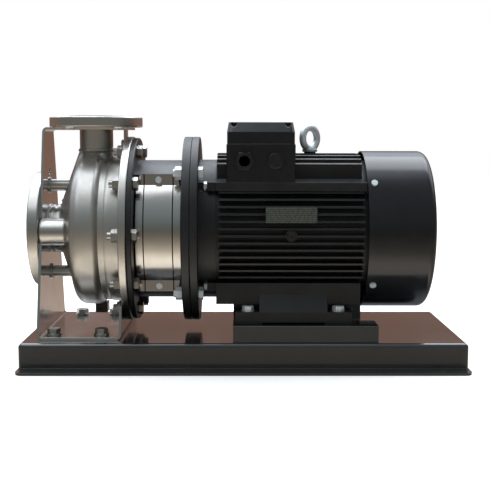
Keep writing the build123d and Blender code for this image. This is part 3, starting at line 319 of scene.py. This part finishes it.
def thread_end(x0, x1, y, z, radius, pitch):
    """The threaded tip of a bolt along X: radius falls and rises once a pitch, the groove moves on by
    a pitch for each turn, and the tip tapers in at its start, as a chamfer does."""
    turns = 28
    u = np.linspace(0, 2 * math.pi, turns, endpoint=False)[None, :]
    h = np.linspace(0, x1 - x0, max(8, int((x1 - x0) / pitch * 8)))[:, None]
    wave = np.abs(((h / pitch - u / (2 * math.pi)) % 1.0) - 0.5) * 2
    r = radius * (1.02 - 0.13 * wave)
    r = np.minimum(r, radius * 0.84 + h)
    rings = np.concatenate([0 * r[:1] + 0.02 * radius, r, 0 * r[:1] + 0.02 * radius])
    place = np.concatenate([h[:1], h, h[-1:]]) - 0.05 * MM * np.array([1] + [0] * (len(h) + 1))[:, None]
    points = np.stack([x0 + place + 0 * u, y + rings * np.cos(u), z + rings * np.sin(u)], -1)
    faces = grid_faces(len(rings), turns, False, True)
    return points, faces[:, ::-1]


# ---------------------------------------------------------------- shader groups
class Board:
    """Places nodes in one tree and joins them by the names of their sockets."""

    def __init__(self, tree):
        self.tree = tree

    def put(self, kind, sockets=None, **settings):
        node = self.tree.nodes.new(kind)
        for key, value in settings.items():
            setattr(node, key, value)
        for key, value in (sockets or {}).items():
            socket = node.inputs[key]
            if isinstance(value, bpy.types.NodeSocket):
                self.tree.links.new(value, socket)
            else:
                socket.default_value = value
        return node

    def math(self, operation, a, b=0.0, c=0.0):
        return self.put("ShaderNodeMath", {0: a, 1: b, 2: c}, operation=operation).outputs[0]

    def spread(self, value, low, high, to_low=0.0, to_high=1.0, smooth=False):
        sockets = {"Value": value, "From Min": low, "From Max": high, "To Min": to_low, "To Max": to_high}
        kind = "SMOOTHSTEP" if smooth else "LINEAR"
        return self.put("ShaderNodeMapRange", sockets, interpolation_type=kind).outputs[0]

    def noise(self, vector, scale, detail=2.0, roughness=0.5):
        sockets = {"Vector": vector, "Scale": scale, "Detail": detail, "Roughness": roughness}
        return self.put("ShaderNodeTexNoise", sockets).outputs["Fac"]

    def mix(self, factor, a, b):
        node = self.put("ShaderNodeMix", data_type="RGBA")
        for socket, value in ((node.inputs[0], factor), (node.inputs[6], a), (node.inputs[7], b)):
            if isinstance(value, bpy.types.NodeSocket):
                self.tree.links.new(value, socket)
            else:
                socket.default_value = value if isinstance(value, (int, float)) else (*value, 1.0)
        return node.outputs[2]


def new_group(name, inputs, outputs):
    """An empty shader group with named float or vector inputs and float or vector outputs."""
    tree = bpy.data.node_groups.new(name, "ShaderNodeTree")
    for direction, rows in (("INPUT", inputs), ("OUTPUT", outputs)):
        for label, kind, value in rows:
            socket = tree.interface.new_socket(label, in_out=direction, socket_type=kind)
            if value is not None:
                socket.default_value = value
    board = Board(tree)
    start = board.put("NodeGroupInput")
    end = board.put("NodeGroupOutput")
    return board, start.outputs, end.inputs


FLOAT, VECTOR = "NodeSocketFloat", "NodeSocketVector"
SKIN_IN = (("Vector", VECTOR, None), ("Grain", FLOAT, 900.0))
SKIN_OUT = (("Height", FLOAT, None), ("Patches", FLOAT, None))


def build_groups():
    """The shared surface effects, by name."""
    groups = {}

    board, given, out = new_group("Cast skin", SKIN_IN, SKIN_OUT)
    fine = board.noise(given["Vector"], given["Grain"], 3.0, 0.6)
    lumps = board.noise(given["Vector"], board.math("MULTIPLY", given["Grain"], 0.31), 2.0)
    patches = board.noise(given["Vector"], board.math("MULTIPLY", given["Grain"], 0.035), 4.0, 0.6)
    both = board.math("MULTIPLY_ADD", fine, 0.6, board.math("MULTIPLY", lumps, 0.6))
    board.tree.links.new(both, out["Height"])
    board.tree.links.new(board.spread(patches, 0.3, 0.7), out["Patches"])
    groups["cast"] = board.tree

    board, given, out = new_group("Turned marks", SKIN_IN, SKIN_OUT)
    parts = board.put("ShaderNodeSeparateXYZ", {"Vector": given["Vector"]}).outputs
    square = board.math("MULTIPLY", parts[1], parts[1])
    radius = board.math("SQRT", board.math("MULTIPLY_ADD", parts[2], parts[2], square))
    turn = board.math("ARCTAN2", parts[1], parts[2])
    drift = board.math("MULTIPLY", board.math("COSINE", turn), 1.5 * MM)
    rings = board.put("ShaderNodeCombineXYZ", {0: parts[0], 1: radius, 2: drift}).outputs[0]
    lines = board.noise(rings, given["Grain"], 4.0, 0.7)
    patches = board.noise(given["Vector"], board.math("MULTIPLY", given["Grain"], 0.03), 4.0, 0.6)
    board.tree.links.new(lines, out["Height"])
    board.tree.links.new(board.spread(patches, 0.3, 0.7), out["Patches"])
    groups["turned"] = board.tree

    board, given, out = new_group("Drawn lines", SKIN_IN, SKIN_OUT)
    sockets = {0: given["Vector"], 1: (0.02, 1.0, 1.0)}
    flat = board.put("ShaderNodeVectorMath", sockets, operation="MULTIPLY").outputs[0]
    lines = board.noise(flat, given["Grain"], 3.0, 0.7)
    patches = board.noise(given["Vector"], board.math("MULTIPLY", given["Grain"], 0.02), 4.0, 0.6)
    board.tree.links.new(lines, out["Height"])
    board.tree.links.new(board.spread(patches, 0.3, 0.7), out["Patches"])
    groups["drawn"] = board.tree

    board, given, out = new_group("Settled dust", [("Vector", VECTOR, None)], [("Mask", FLOAT, None)])
    normal = board.put("ShaderNodeNewGeometry").outputs["Normal"]
    upward = board.put("ShaderNodeSeparateXYZ", {"Vector": normal}).outputs[2]
    cover = board.noise(given["Vector"], 55.0, 5.0, 0.65)
    specks = board.noise(given["Vector"], 1100.0, 2.0)
    level = board.spread(upward, 0.6, 0.98, smooth=True)
    mask = board.math("MULTIPLY", level, board.spread(cover, 0.3, 0.75))
    mask = board.math("MULTIPLY", mask, board.spread(specks, 0.25, 0.8))
    board.tree.links.new(mask, out["Mask"])
    groups["dust"] = board.tree

    # rounded edge normals, and an edge mask that drives a painted highlight on the edges
    board, given, out = new_group(
        "Rounded edges and highlight mask", [("Radius", FLOAT, 0.0008)], [("Mask", FLOAT, None), ("Normal", VECTOR, None)]
    )
    rounded = board.put("ShaderNodeBevel", {"Radius": given["Radius"]}, samples=4).outputs[0]
    plain = board.put("ShaderNodeNewGeometry").outputs["Normal"]
    along = board.put("ShaderNodeVectorMath", {0: rounded, 1: plain}, operation="DOT_PRODUCT")
    board.tree.links.new(board.spread(along.outputs["Value"], 0.995, 0.80), out["Mask"])
    board.tree.links.new(rounded, out["Normal"])
    groups["edges"] = board.tree
    return groups


# axis that a turned finish runs round: a point on it, and the turn that lays it along X
AXES = {
    "shaft": ((0, 0, SHAFT_Z), (0, 0, 0)),
    "port": ((PORT_X, 0, 0), (0, math.radians(90), 0)),
    "cross": ((0, 0, SHAFT_Z), (0, 0, math.radians(90))),
    "upright": ((0, 0, 0), (0, math.radians(90), 0)),
}

# colour, pattern, grain per metre, bump depth (mm), lowest and highest roughness, second colour as a
# share of the first, metallic, and where a finish has them: coat weight, dust, edge radius (mm),
# painted edge highlight strength, axis, distance from the guard's ends of the painted shade lines at its
# rolled grooves (mm), row height (mm)
FINISHES = {
    "black_gloss": dict(
        colour="enamel", pattern="cast", grain=260, depth=0.02, rough=(0.08, 0.16), second=1.4,
        metallic=0.0, coat=1.0, dust=0.03, edge=1.4, edge_highlight=0.3,
    ),
    "black_paint": dict(
        colour="paint", pattern="cast", grain=1500, depth=0.02, rough=(0.14, 0.20), second=1.5,
        metallic=0.0, coat=0.0, dust=0.015, edge=1.1, edge_highlight=0.25,
    ),
    "black_casting": dict(
        colour="paint", pattern="cast", grain=800, depth=0.10, rough=(0.34, 0.48), second=1.7,
        metallic=0.0, coat=0.0, dust=0.05, edge=1.0, edge_highlight=0.35,
    ),
    "polished_stainless": dict(
        colour="stainless", pattern="drawn", grain=1600, depth=0.004, rough=(0.13, 0.20),
        second=0.90, metallic=1.0, edge=0.8, axis="upright",
    ),
    "brushed_stainless": dict(
        colour="stainless", pattern="turned", grain=1500, depth=0.010, rough=(0.36, 0.45),
        second=0.88, metallic=1.0,
    ),
    "guard_sheet": dict(
        colour="stainless", pattern="turned", grain=1500, depth=0.004, rough=(0.16, 0.22),
        second=0.93, metallic=1.0, grooves=12.0,
    ),
    "turned_stainless": dict(
        colour="stainless", pattern="turned", grain=1700, depth=0.006, rough=(0.28, 0.36),
        second=0.90, metallic=1.0, edge=0.8,
    ),
    "stainless_fastener": dict(
        colour="stainless", pattern="cast", grain=1400, depth=0.02, rough=(0.24, 0.38),
        second=0.75, metallic=1.0, edge=0.6,
    ),
    "zinc_fastener": dict(
        colour="zinc", pattern="cast", grain=900, depth=0.02, rough=(0.36, 0.50), second=0.85,
        metallic=0.6, edge=0.6,
    ),
    "dark_steel": dict(
        colour=(0.05, 0.05, 0.052), pattern="cast", grain=1300, depth=0.02, rough=(0.30, 0.45),
        second=1.6, metallic=1.0, edge=0.5,
    ),
    "ground_steel": dict(
        colour=(0.50, 0.50, 0.51), pattern="turned", grain=2400, depth=0.008, rough=(0.15, 0.24),
        second=0.9, metallic=1.0,
    ),
    "bearing_steel": dict(
        colour=(0.62, 0.62, 0.64), pattern="turned", grain=2800, depth=0.003, rough=(0.06, 0.12),
        second=0.95, metallic=1.0,
    ),
    "lamination_steel": dict(
        colour=(0.20, 0.19, 0.19), pattern="drawn", grain=1500, depth=0.06, rough=(0.35, 0.5),
        second=0.7, metallic=1.0, axis="cross",
    ),
    "enamelled_copper": dict(
        colour=(0.33, 0.10, 0.045), pattern="turned", grain=900, depth=0.25, rough=(0.25, 0.4),
        second=0.6, metallic=0.7, coat=0.5,
    ),
    "ceramic": dict(
        colour=(0.80, 0.77, 0.70), pattern="cast", grain=1800, depth=0.004, rough=(0.2, 0.3),
        second=0.96, metallic=0.0,
    ),
    "black_rubber": dict(
        colour=(0.016, 0.016, 0.017), pattern="cast", grain=1600, depth=0.05, rough=(0.65, 0.85),
        second=1.6, metallic=0.0, dust=0.1,
    ),
    "moulded_plastic": dict(
        colour=(0.025, 0.025, 0.03), pattern="cast", grain=2200, depth=0.03, rough=(0.42, 0.55),
        second=1.3, metallic=0.0, edge=0.6, edge_highlight=0.4,
    ),
    "dark_gland": dict(
        colour=(0.006, 0.006, 0.0065), pattern="cast", grain=1900, depth=0.03, rough=(0.22, 0.3),
        second=1.4, metallic=0.0, edge=0.7, edge_highlight=0.6,
    ),
    "nameplate_alloy": dict(
        colour=(0.17, 0.21, 0.20), pattern="drawn", grain=2200, depth=0.01, rough=(0.28, 0.4),
        second=0.8, metallic=1.0, row=3.0,
    ),
}

# nodes whose finish runs about another axis than the shaft's
TURNED_ABOUT_PORT = ("discharge_neck", "discharge_flange")
TURNED_ACROSS = ("side_spacers",)
OTHER_FINISH = {
    "motor_rails": "black_gloss",
    "coupling_guard_front": "guard_sheet",
    "coupling_guard_rear": "guard_sheet",
}


def build_finish(name, groups, tones, axis=None):
    """One material: a patterned bump and roughness, slow patches of a second tone, dust on what faces
    up, rounded edges that catch the light with a painted highlight lightening their colour, and on the
    guard painted shade lines at its rolled grooves."""
    spec = FINISHES[name]
    label = name if axis is None else f"{name}_{axis}"
    material = bpy.data.materials.new(label)
    material.use_nodes = True
    tree = material.node_tree
    tree.nodes.clear()
    board = Board(tree)
    shader = board.put("ShaderNodeBsdfPrincipled")
    board.put("ShaderNodeOutputMaterial", {"Surface": shader.outputs[0]})
    where = board.put("ShaderNodeTexCoord").outputs["Object"]
    point, turn = AXES[axis or spec.get("axis", "shaft")]
    sockets = {"Vector": where, "Location": point, "Rotation": turn}
    laid = board.put("ShaderNodeMapping", sockets, vector_type="TEXTURE")

    def use(group, sockets):
        node = board.put("ShaderNodeGroup", node_tree=groups[group])
        for key, value in sockets.items():
            if isinstance(value, bpy.types.NodeSocket):
                tree.links.new(value, node.inputs[key])
            else:
                node.inputs[key].default_value = value
        return node.outputs

    skin = use(spec["pattern"], {"Vector": laid.outputs[0], "Grain": float(spec["grain"])})
    first = tones[spec["colour"]] if spec["colour"] in tones else spec["colour"]
    other = tuple(min(1.0, c * spec["second"]) for c in first)
    colour = board.mix(skin["Patches"], tuple(first), other)
    low, high = spec["rough"]
    half = board.math("MULTIPLY", skin["Patches"], 0.5)
    rough = board.spread(board.math("MULTIPLY_ADD", skin["Height"], 0.5, half), 0.25, 0.75, low, high)
    sockets = {"Height": skin["Height"], "Strength": 0.6, "Distance": spec["depth"] * MM * 2.0}
    if spec.get("edge"):
        edges = use("edges", {"Radius": spec["edge"] * MM})
        sockets["Normal"] = edges["Normal"]
        # painted highlight: edges are mixed toward light grey to stand in for the glints on their rounded
        # tips
        if spec.get("edge_highlight"):
            edge_highlight = board.math("MULTIPLY", edges["Mask"], 0.35 * spec["edge_highlight"])
            colour = board.mix(edge_highlight, colour, (0.16, 0.165, 0.17))
    # painted shade: a near-black band at the set distance in from each end of the guard stands in for the
    # shade inside its rolled groove
    if spec.get("grooves"):
        along = board.put("ShaderNodeSeparateXYZ", {"Vector": where}).outputs[0]
        for end, inset in zip(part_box("coupling_guard_front"), (spec["grooves"], -spec["grooves"])):
            groove = board.math("COMPARE", along, end.x + inset * MM, 0.9 * MM)
            colour = board.mix(groove, colour, (0.03, 0.03, 0.028))
    if spec.get("row"):
        parts = board.put("ShaderNodeSeparateXYZ", {"Vector": where}).outputs
        height = board.math("DIVIDE", parts[2], spec["row"] * MM)
        inside = board.math("COMPARE", board.math("FRACT", height), 0.5, 0.24)
        place = board.put("ShaderNodeCombineXYZ", {0: parts[0], 2: board.math("FLOOR", height)}).outputs[0]
        marks = board.spread(board.noise(place, 420.0, 1.0), 0.47, 0.53)
        marks = board.math("MULTIPLY", marks, 0.4)
        colour = board.mix(board.math("MULTIPLY", inside, marks), colour, (0.6, 0.66, 0.64))
    if spec.get("dust"):
        dust = use("dust", {"Vector": where})["Mask"]
        amount = board.math("MULTIPLY", dust, spec["dust"] * 2.5)
        colour = board.mix(amount, colour, (0.32, 0.30, 0.27))
        rough = board.math("ADD", rough, board.math("MULTIPLY", amount, 0.35))
    bump = board.put("ShaderNodeBump", sockets)
    shader.inputs["Metallic"].default_value = spec["metallic"]
    shader.inputs["Coat Weight"].default_value = spec.get("coat", 0.0)
    shader.inputs["Coat Roughness"].default_value = 0.05
    tree.links.new(colour, shader.inputs["Base Color"])
    tree.links.new(rough, shader.inputs["Roughness"])
    tree.links.new(bump.outputs[0], shader.inputs["Normal"])
    return material


MATERIALS = {}


def finish_of(name, axis=None):
    """A finish that the first operator has built, by its name and the axis that it runs about."""
    key = name if axis is None else f"{name}_{axis}"
    if key not in MATERIALS:
        raise RuntimeError(f"no finish {key}: run the finishes operator first")
    return MATERIALS[key]


# ---------------------------------------------------------------- operators
class PUMP_OT_finishes(bpy.types.Operator):
    """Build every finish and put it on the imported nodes"""

    bl_idname = "pump.finishes"
    bl_label = "Finishes"

    def execute(self, context):
        chosen = context.scene.pump_finish
        tones = {key: tuple(getattr(chosen, key)) for key in ("paint", "enamel", "stainless", "zinc")}
        groups = build_groups()
        for name in FINISHES:
            MATERIALS[name] = build_finish(name, groups, tones)
        for name in ("brushed_stainless", "turned_stainless"):
            MATERIALS[f"{name}_port"] = build_finish(name, groups, tones, "port")
            MATERIALS[f"{name}_cross"] = build_finish(name, groups, tones, "cross")
        for node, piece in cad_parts.items():
            axis = "port" if node in TURNED_ABOUT_PORT else "cross" if node in TURNED_ACROSS else None
            for slot in piece.material_slots:
                base = slot.material.name.split(".")[0]
                slot.material = finish_of(OTHER_FINISH.get(node, base), axis)
        return {"FINISHED"}


class PUMP_OT_casing(bpy.types.Operator):
    """Press the casing as one smooth skin that flares into the discharge neck"""

    bl_idname = "pump.casing"
    bl_label = "Pressed casing"

    def execute(self, context):
        shape = context.scene.pump_casing
        outer = casing_points(shape)
        middle = (outer + np.roll(outer, -1, 1))[:-1] / 4 + (outer + np.roll(outer, -1, 1))[1:] / 4
        reach = np.hypot(middle[..., 0] - PORT_X, middle[..., 1])
        hole = (reach < shape.port - 3 * MM) & (middle[..., 2] > SHAFT_Z + 90 * MM)
        points, faces = shell(outer, shape.wall, hole)
        skin = add_piece(
            "casing_skin", points, faces, "housing", finish_of("brushed_stainless")
        )
        face_out(skin)
        skin.data.set_sharp_from_angle(angle=math.radians(50))
        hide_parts("volute_casing")
        hub, rim, end = 41 * MM, 45 * MM, CASING_X0 + 25 * MM
        x = CASING_X0 + 2.5 * MM
        ring, quads = lathe([(x, hub), (x, rim), (end, rim), (end, hub)], 96, "X", (0, 0, SHAFT_Z))
        brushed = finish_of("brushed_stainless")
        holder = add_piece("wear_ring_holder", ring, quads, "housing", brushed, 40)
        face_out(holder)
        return {"FINISHED"}


class PUMP_OT_welds(bpy.types.Operator):
    """Lay the weld beads of the two ports"""

    bl_idname = "pump.welds"
    bl_label = "Weld beads"

    def execute(self, context):
        size = context.scene.pump_detail
        shape = context.scene.pump_casing
        pipe_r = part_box("suction_pipe")[1].y - 1.6 * MM
        neck_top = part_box("discharge_flange")[0].z
        plate_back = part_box("suction_flange")[1].x + 4 * MM
        beads = (
            ("neck_foot_bead", shape.port, "Z", (PORT_X, 0, SHAFT_Z + shape.neck_foot), 1.0, 1.0),
            ("neck_top_bead", shape.port, "Z", (PORT_X, 0, neck_top - 0.6 * MM), 0.8, 2.1),
            ("pipe_front_bead", pipe_r, "X", (plate_back + 0.6 * MM, 0, SHAFT_Z), 0.9, 3.3),
            ("pipe_casing_bead", pipe_r, "X", (CASING_X0 - 0.6 * MM, 0, SHAFT_Z), 1.0, 4.4),
        )
        for name, ring_r, axis, centre, wide, seed in beads:
            points, faces = weld_bead(ring_r, size.bead * wide, size.ripple, axis, centre, seed)
            plain = finish_of("stainless_fastener")
            piece = add_piece(name, points, faces, "housing", plain)
            face_out(piece)
        return {"FINISHED"}


class PUMP_OT_threads(bpy.types.Operator):
    """Cut the threads on the ends of the flange bolts"""

    bl_idname = "pump.threads"
    bl_label = "Thread ends"

    def execute(self, context):
        size = context.scene.pump_detail
        nut, bolt_r, proud, sunk = 10.8 * MM, 6.0 * MM, 0.1 * MM, 0.2 * MM
        strap, strap_top = 4 * MM, -112 * MM
        jobs = (
            ("casing_bolt_threads", "casing_nuts", 132 * MM, 10, 0.0, "stainless_fastener", 6.0),
            ("flange_bolt_threads", "flange_nuts", 132.5 * MM, 4, 45.0, "zinc_fastener", 3.0),
        )
        for name, nuts, circle, count, start, slot, spare in jobs:
            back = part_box(nuts)[1].x
            points, faces, total = [], [], 0
            for k in range(count):
                angle = math.radians(start + 360 / count * k)
                y, z = circle * math.cos(angle), circle * math.sin(angle)
                seat = back
                if nuts == "casing_nuts" and z < strap_top:
                    seat = back - strap
                face = seat - nut
                far = face - spare * MM - proud
                tip, quads = thread_end(far, face + sunk, y, SHAFT_Z + z, bolt_r, size.pitch)
                points.append(tip.reshape(-1, 3))
                faces.append(quads + total)
                total += len(points[-1])
            points, faces = np.concatenate(points), np.concatenate(faces)
            piece = add_piece(name, points, faces, "housing", finish_of(slot), 60)
            face_out(piece)
        return {"FINISHED"}


def sky_colours():
    """Stops of the studio's light by height, in degrees above the horizon, for the side that the
    camera is on and for the side beyond the object: (height, red, green, blue)."""
    front = (
        (-90, 0.72, 0.70, 0.66), (-83, 1.00, 0.95, 0.87), (-76, 1.25, 1.17, 1.04), (-46, 1.45, 1.34, 1.15),
        (-40, 1.15, 1.03, 0.86), (-33, 0.70, 0.62, 0.50), (-20, 0.38, 0.33, 0.27), (-7, 0.20, 0.175, 0.15),
        (2, 0.14, 0.14, 0.13), (19, 0.20, 0.235, 0.24), (33, 0.25, 0.29, 0.305), (61, 0.32, 0.36, 0.38),
        (70, 0.46, 0.50, 0.55), (77, 0.65, 0.72, 0.79), (84, 1.6, 1.75, 1.95), (90, 2.0, 2.2, 2.45),
    )
    back = (
        (-90, 0.72, 0.70, 0.66), (-75, 0.45, 0.43, 0.40), (-55, 0.22, 0.21, 0.20), (-30, 0.24, 0.22, 0.20),
        (-18, 0.60, 0.52, 0.46), (-12, 0.62, 0.52, 0.45), (-8, 0.46, 0.35, 0.29), (-3, 0.26, 0.155, 0.115),
        (10, 0.22, 0.12, 0.085), (16, 0.34, 0.26, 0.24), (23, 1.00, 1.08, 1.20), (34, 1.7, 1.85, 2.1),
        (50, 2.1, 2.3, 2.6), (90, 2.1, 2.3, 2.6),
    )
    return front, back


def build_world():
    """White to the camera, and to everything else a dome whose colour follows the direction's height."""
    world = bpy.data.worlds.new("studio")
    bpy.context.scene.world = world
    world.use_nodes = True
    world.node_tree.nodes.clear()
    board = Board(world.node_tree)
    way = board.put("ShaderNodeTexCoord").outputs["Generated"]
    parts = board.put("ShaderNodeSeparateXYZ", {"Vector": way}).outputs
    height = board.spread(board.math("ARCSINE", parts[2]), -math.pi / 2, math.pi / 2)
    sides = []
    for stops in sky_colours():
        ramp = board.put("ShaderNodeValToRGB", {"Fac": height})
        elements = ramp.color_ramp.elements
        while len(elements) > 1:
            elements.remove(elements[-1])
        for k, (degrees, *colour) in enumerate(stops):
            place = (degrees + 90) / 180
            element = elements[0] if k == 0 else elements.new(place)
            element.position = place
            element.color = (*colour, 1.0)
        sides.append(ramp.outputs["Color"])
    beyond = board.spread(parts[1], -0.1, 0.35, smooth=True)
    dome = board.mix(beyond, sides[0], sides[1])
    seen = board.put("ShaderNodeLightPath").outputs["Is Camera Ray"]
    plain = board.put("ShaderNodeBackground", {"Color": (1, 1, 1, 1), "Strength": 1.0})
    lit = board.put("ShaderNodeBackground", {"Color": dome, "Strength": 1.0})
    both = board.put("ShaderNodeMixShader", {0: seen, 1: lit.outputs[0], 2: plain.outputs[0]})
    board.put("ShaderNodeOutputWorld", {"Surface": both.outputs[0]})


def build_floor():
    """A pale round floor a hair below the base, and left out of reflections."""
    corners, floor_r = 96, 6
    turn = np.linspace(0, 2 * math.pi, corners, endpoint=False)
    z = CAD_BOX[0].z - 0.2 * MM
    points = np.stack([floor_r * np.cos(turn), floor_r * np.sin(turn), 0 * turn + z], -1)
    mesh = bpy.data.meshes.new("floor")
    mesh.from_pydata(points, [], [list(range(corners))])
    floor = bpy.data.objects.new("floor", mesh)
    bpy.context.scene.collection.objects.link(floor)
    paint = bpy.data.materials.new("pale_floor")
    paint.use_nodes = True
    board = Board(paint.node_tree)
    shader = paint.node_tree.nodes["Principled BSDF"]
    where = board.put("ShaderNodeTexCoord").outputs["Object"]
    mottle = board.noise(where, 3.0, 2.0)
    tone = board.mix(mottle, (0.90, 0.90, 0.90), (0.93, 0.93, 0.93))
    paint.node_tree.links.new(tone, shader.inputs["Base Color"])
    shader.inputs["Roughness"].default_value = 0.9
    shader.inputs["Specular IOR Level"].default_value = 0.1
    shader.inputs["Emission Color"].default_value = (1, 1, 1, 1)
    shader.inputs["Emission Strength"].default_value = 0.42
    mesh.materials.append(paint)
    floor.visible_glossy = False


def softbox(name, place, aim, size, power, colour=(1, 1, 1)):
    """A rectangular lamp at a place, turned to face a point."""
    data = bpy.data.lights.new(name, "AREA")
    data.shape = "RECTANGLE"
    data.size, data.size_y = size
    data.energy = power
    data.color = colour
    lamp = bpy.data.objects.new(name, data)
    bpy.context.scene.collection.objects.link(lamp)
    lamp.location = place
    lamp.rotation_mode = "QUATERNION"
    lamp.rotation_quaternion = (Vector(aim) - Vector(place)).to_track_quat("-Z", "Y")


class PUMP_OT_studio(bpy.types.Operator):
    """Set the camera, the dome, the lamps and the floor"""

    bl_idname = "pump.studio"
    bl_label = "Studio"

    def execute(self, context):
        scene = context.scene
        scene.view_settings.view_transform = "Standard"
        build_world()
        build_floor()
        softbox("overhead", (0.0, 0.72, 1.75), (0, 0, 0.2), (2.4, 1.1), 20.0, (0.95, 0.98, 1.0))
        softbox("left_key", (-0.66, -0.52, 1.55), (-0.27, 0, 0.25), (0.85, 1.2), 5.0, (0.95, 0.98, 1.0))
        data = bpy.data.cameras.new("camera")
        data.lens, data.sensor_width = 69.52, 36.0
        data.clip_start, data.clip_end = 0.05, 60
        camera = bpy.data.objects.new("camera", data)
        scene.collection.objects.link(camera)
        right = Vector((0.99995781, -0.00894989, 0.00206778))
        up = Vector((-0.0010933, 0.10754653, 0.99419945))
        back = right.cross(up)
        turned = Matrix((right, up, back)).transposed().to_4x4()
        camera.matrix_world = Matrix.Translation((-0.0116, -1.5569, 0.3467)) @ turned
        scene.camera = camera
        return {"FINISHED"}


class PUMP_PT_sidebar(bpy.types.Panel):
    """Lists the pump's settings and operators"""

    bl_label = "Pump"
    bl_idname = "PUMP_PT_sidebar"
    bl_space_type = "VIEW_3D"
    bl_region_type = "UI"
    bl_category = "Pump"

    def draw(self, context):
        for group in (context.scene.pump_casing, context.scene.pump_detail, context.scene.pump_finish):
            box = self.layout.box()
            for key in group.__annotations__:
                box.prop(group, key)
        for operator in OPERATORS:
            self.layout.operator(operator.bl_idname)


GROUPS = (
    ("pump_casing", PumpCastingSettings),
    ("pump_detail", PumpDetailSettings),
    ("pump_finish", PumpFinishSettings),
)
OPERATORS = (PUMP_OT_finishes, PUMP_OT_casing, PUMP_OT_welds, PUMP_OT_threads, PUMP_OT_studio)


def register():
    for name, group in GROUPS:
        bpy.utils.register_class(group)
        setattr(bpy.types.Scene, name, bpy.props.PointerProperty(type=group))
    for operator in OPERATORS:
        bpy.utils.register_class(operator)
    bpy.utils.register_class(PUMP_PT_sidebar)


def unregister():
    bpy.utils.unregister_class(PUMP_PT_sidebar)
    for operator in reversed(OPERATORS):
        bpy.utils.unregister_class(operator)
    for name, group in reversed(GROUPS):
        delattr(bpy.types.Scene, name)
        bpy.utils.unregister_class(group)


def main():
    register()
    bpy.ops.pump.finishes()
    bpy.ops.pump.casing()
    bpy.ops.pump.welds()
    bpy.ops.pump.threads()
    bpy.ops.pump.studio()


if __name__ == "__main__":
    main()
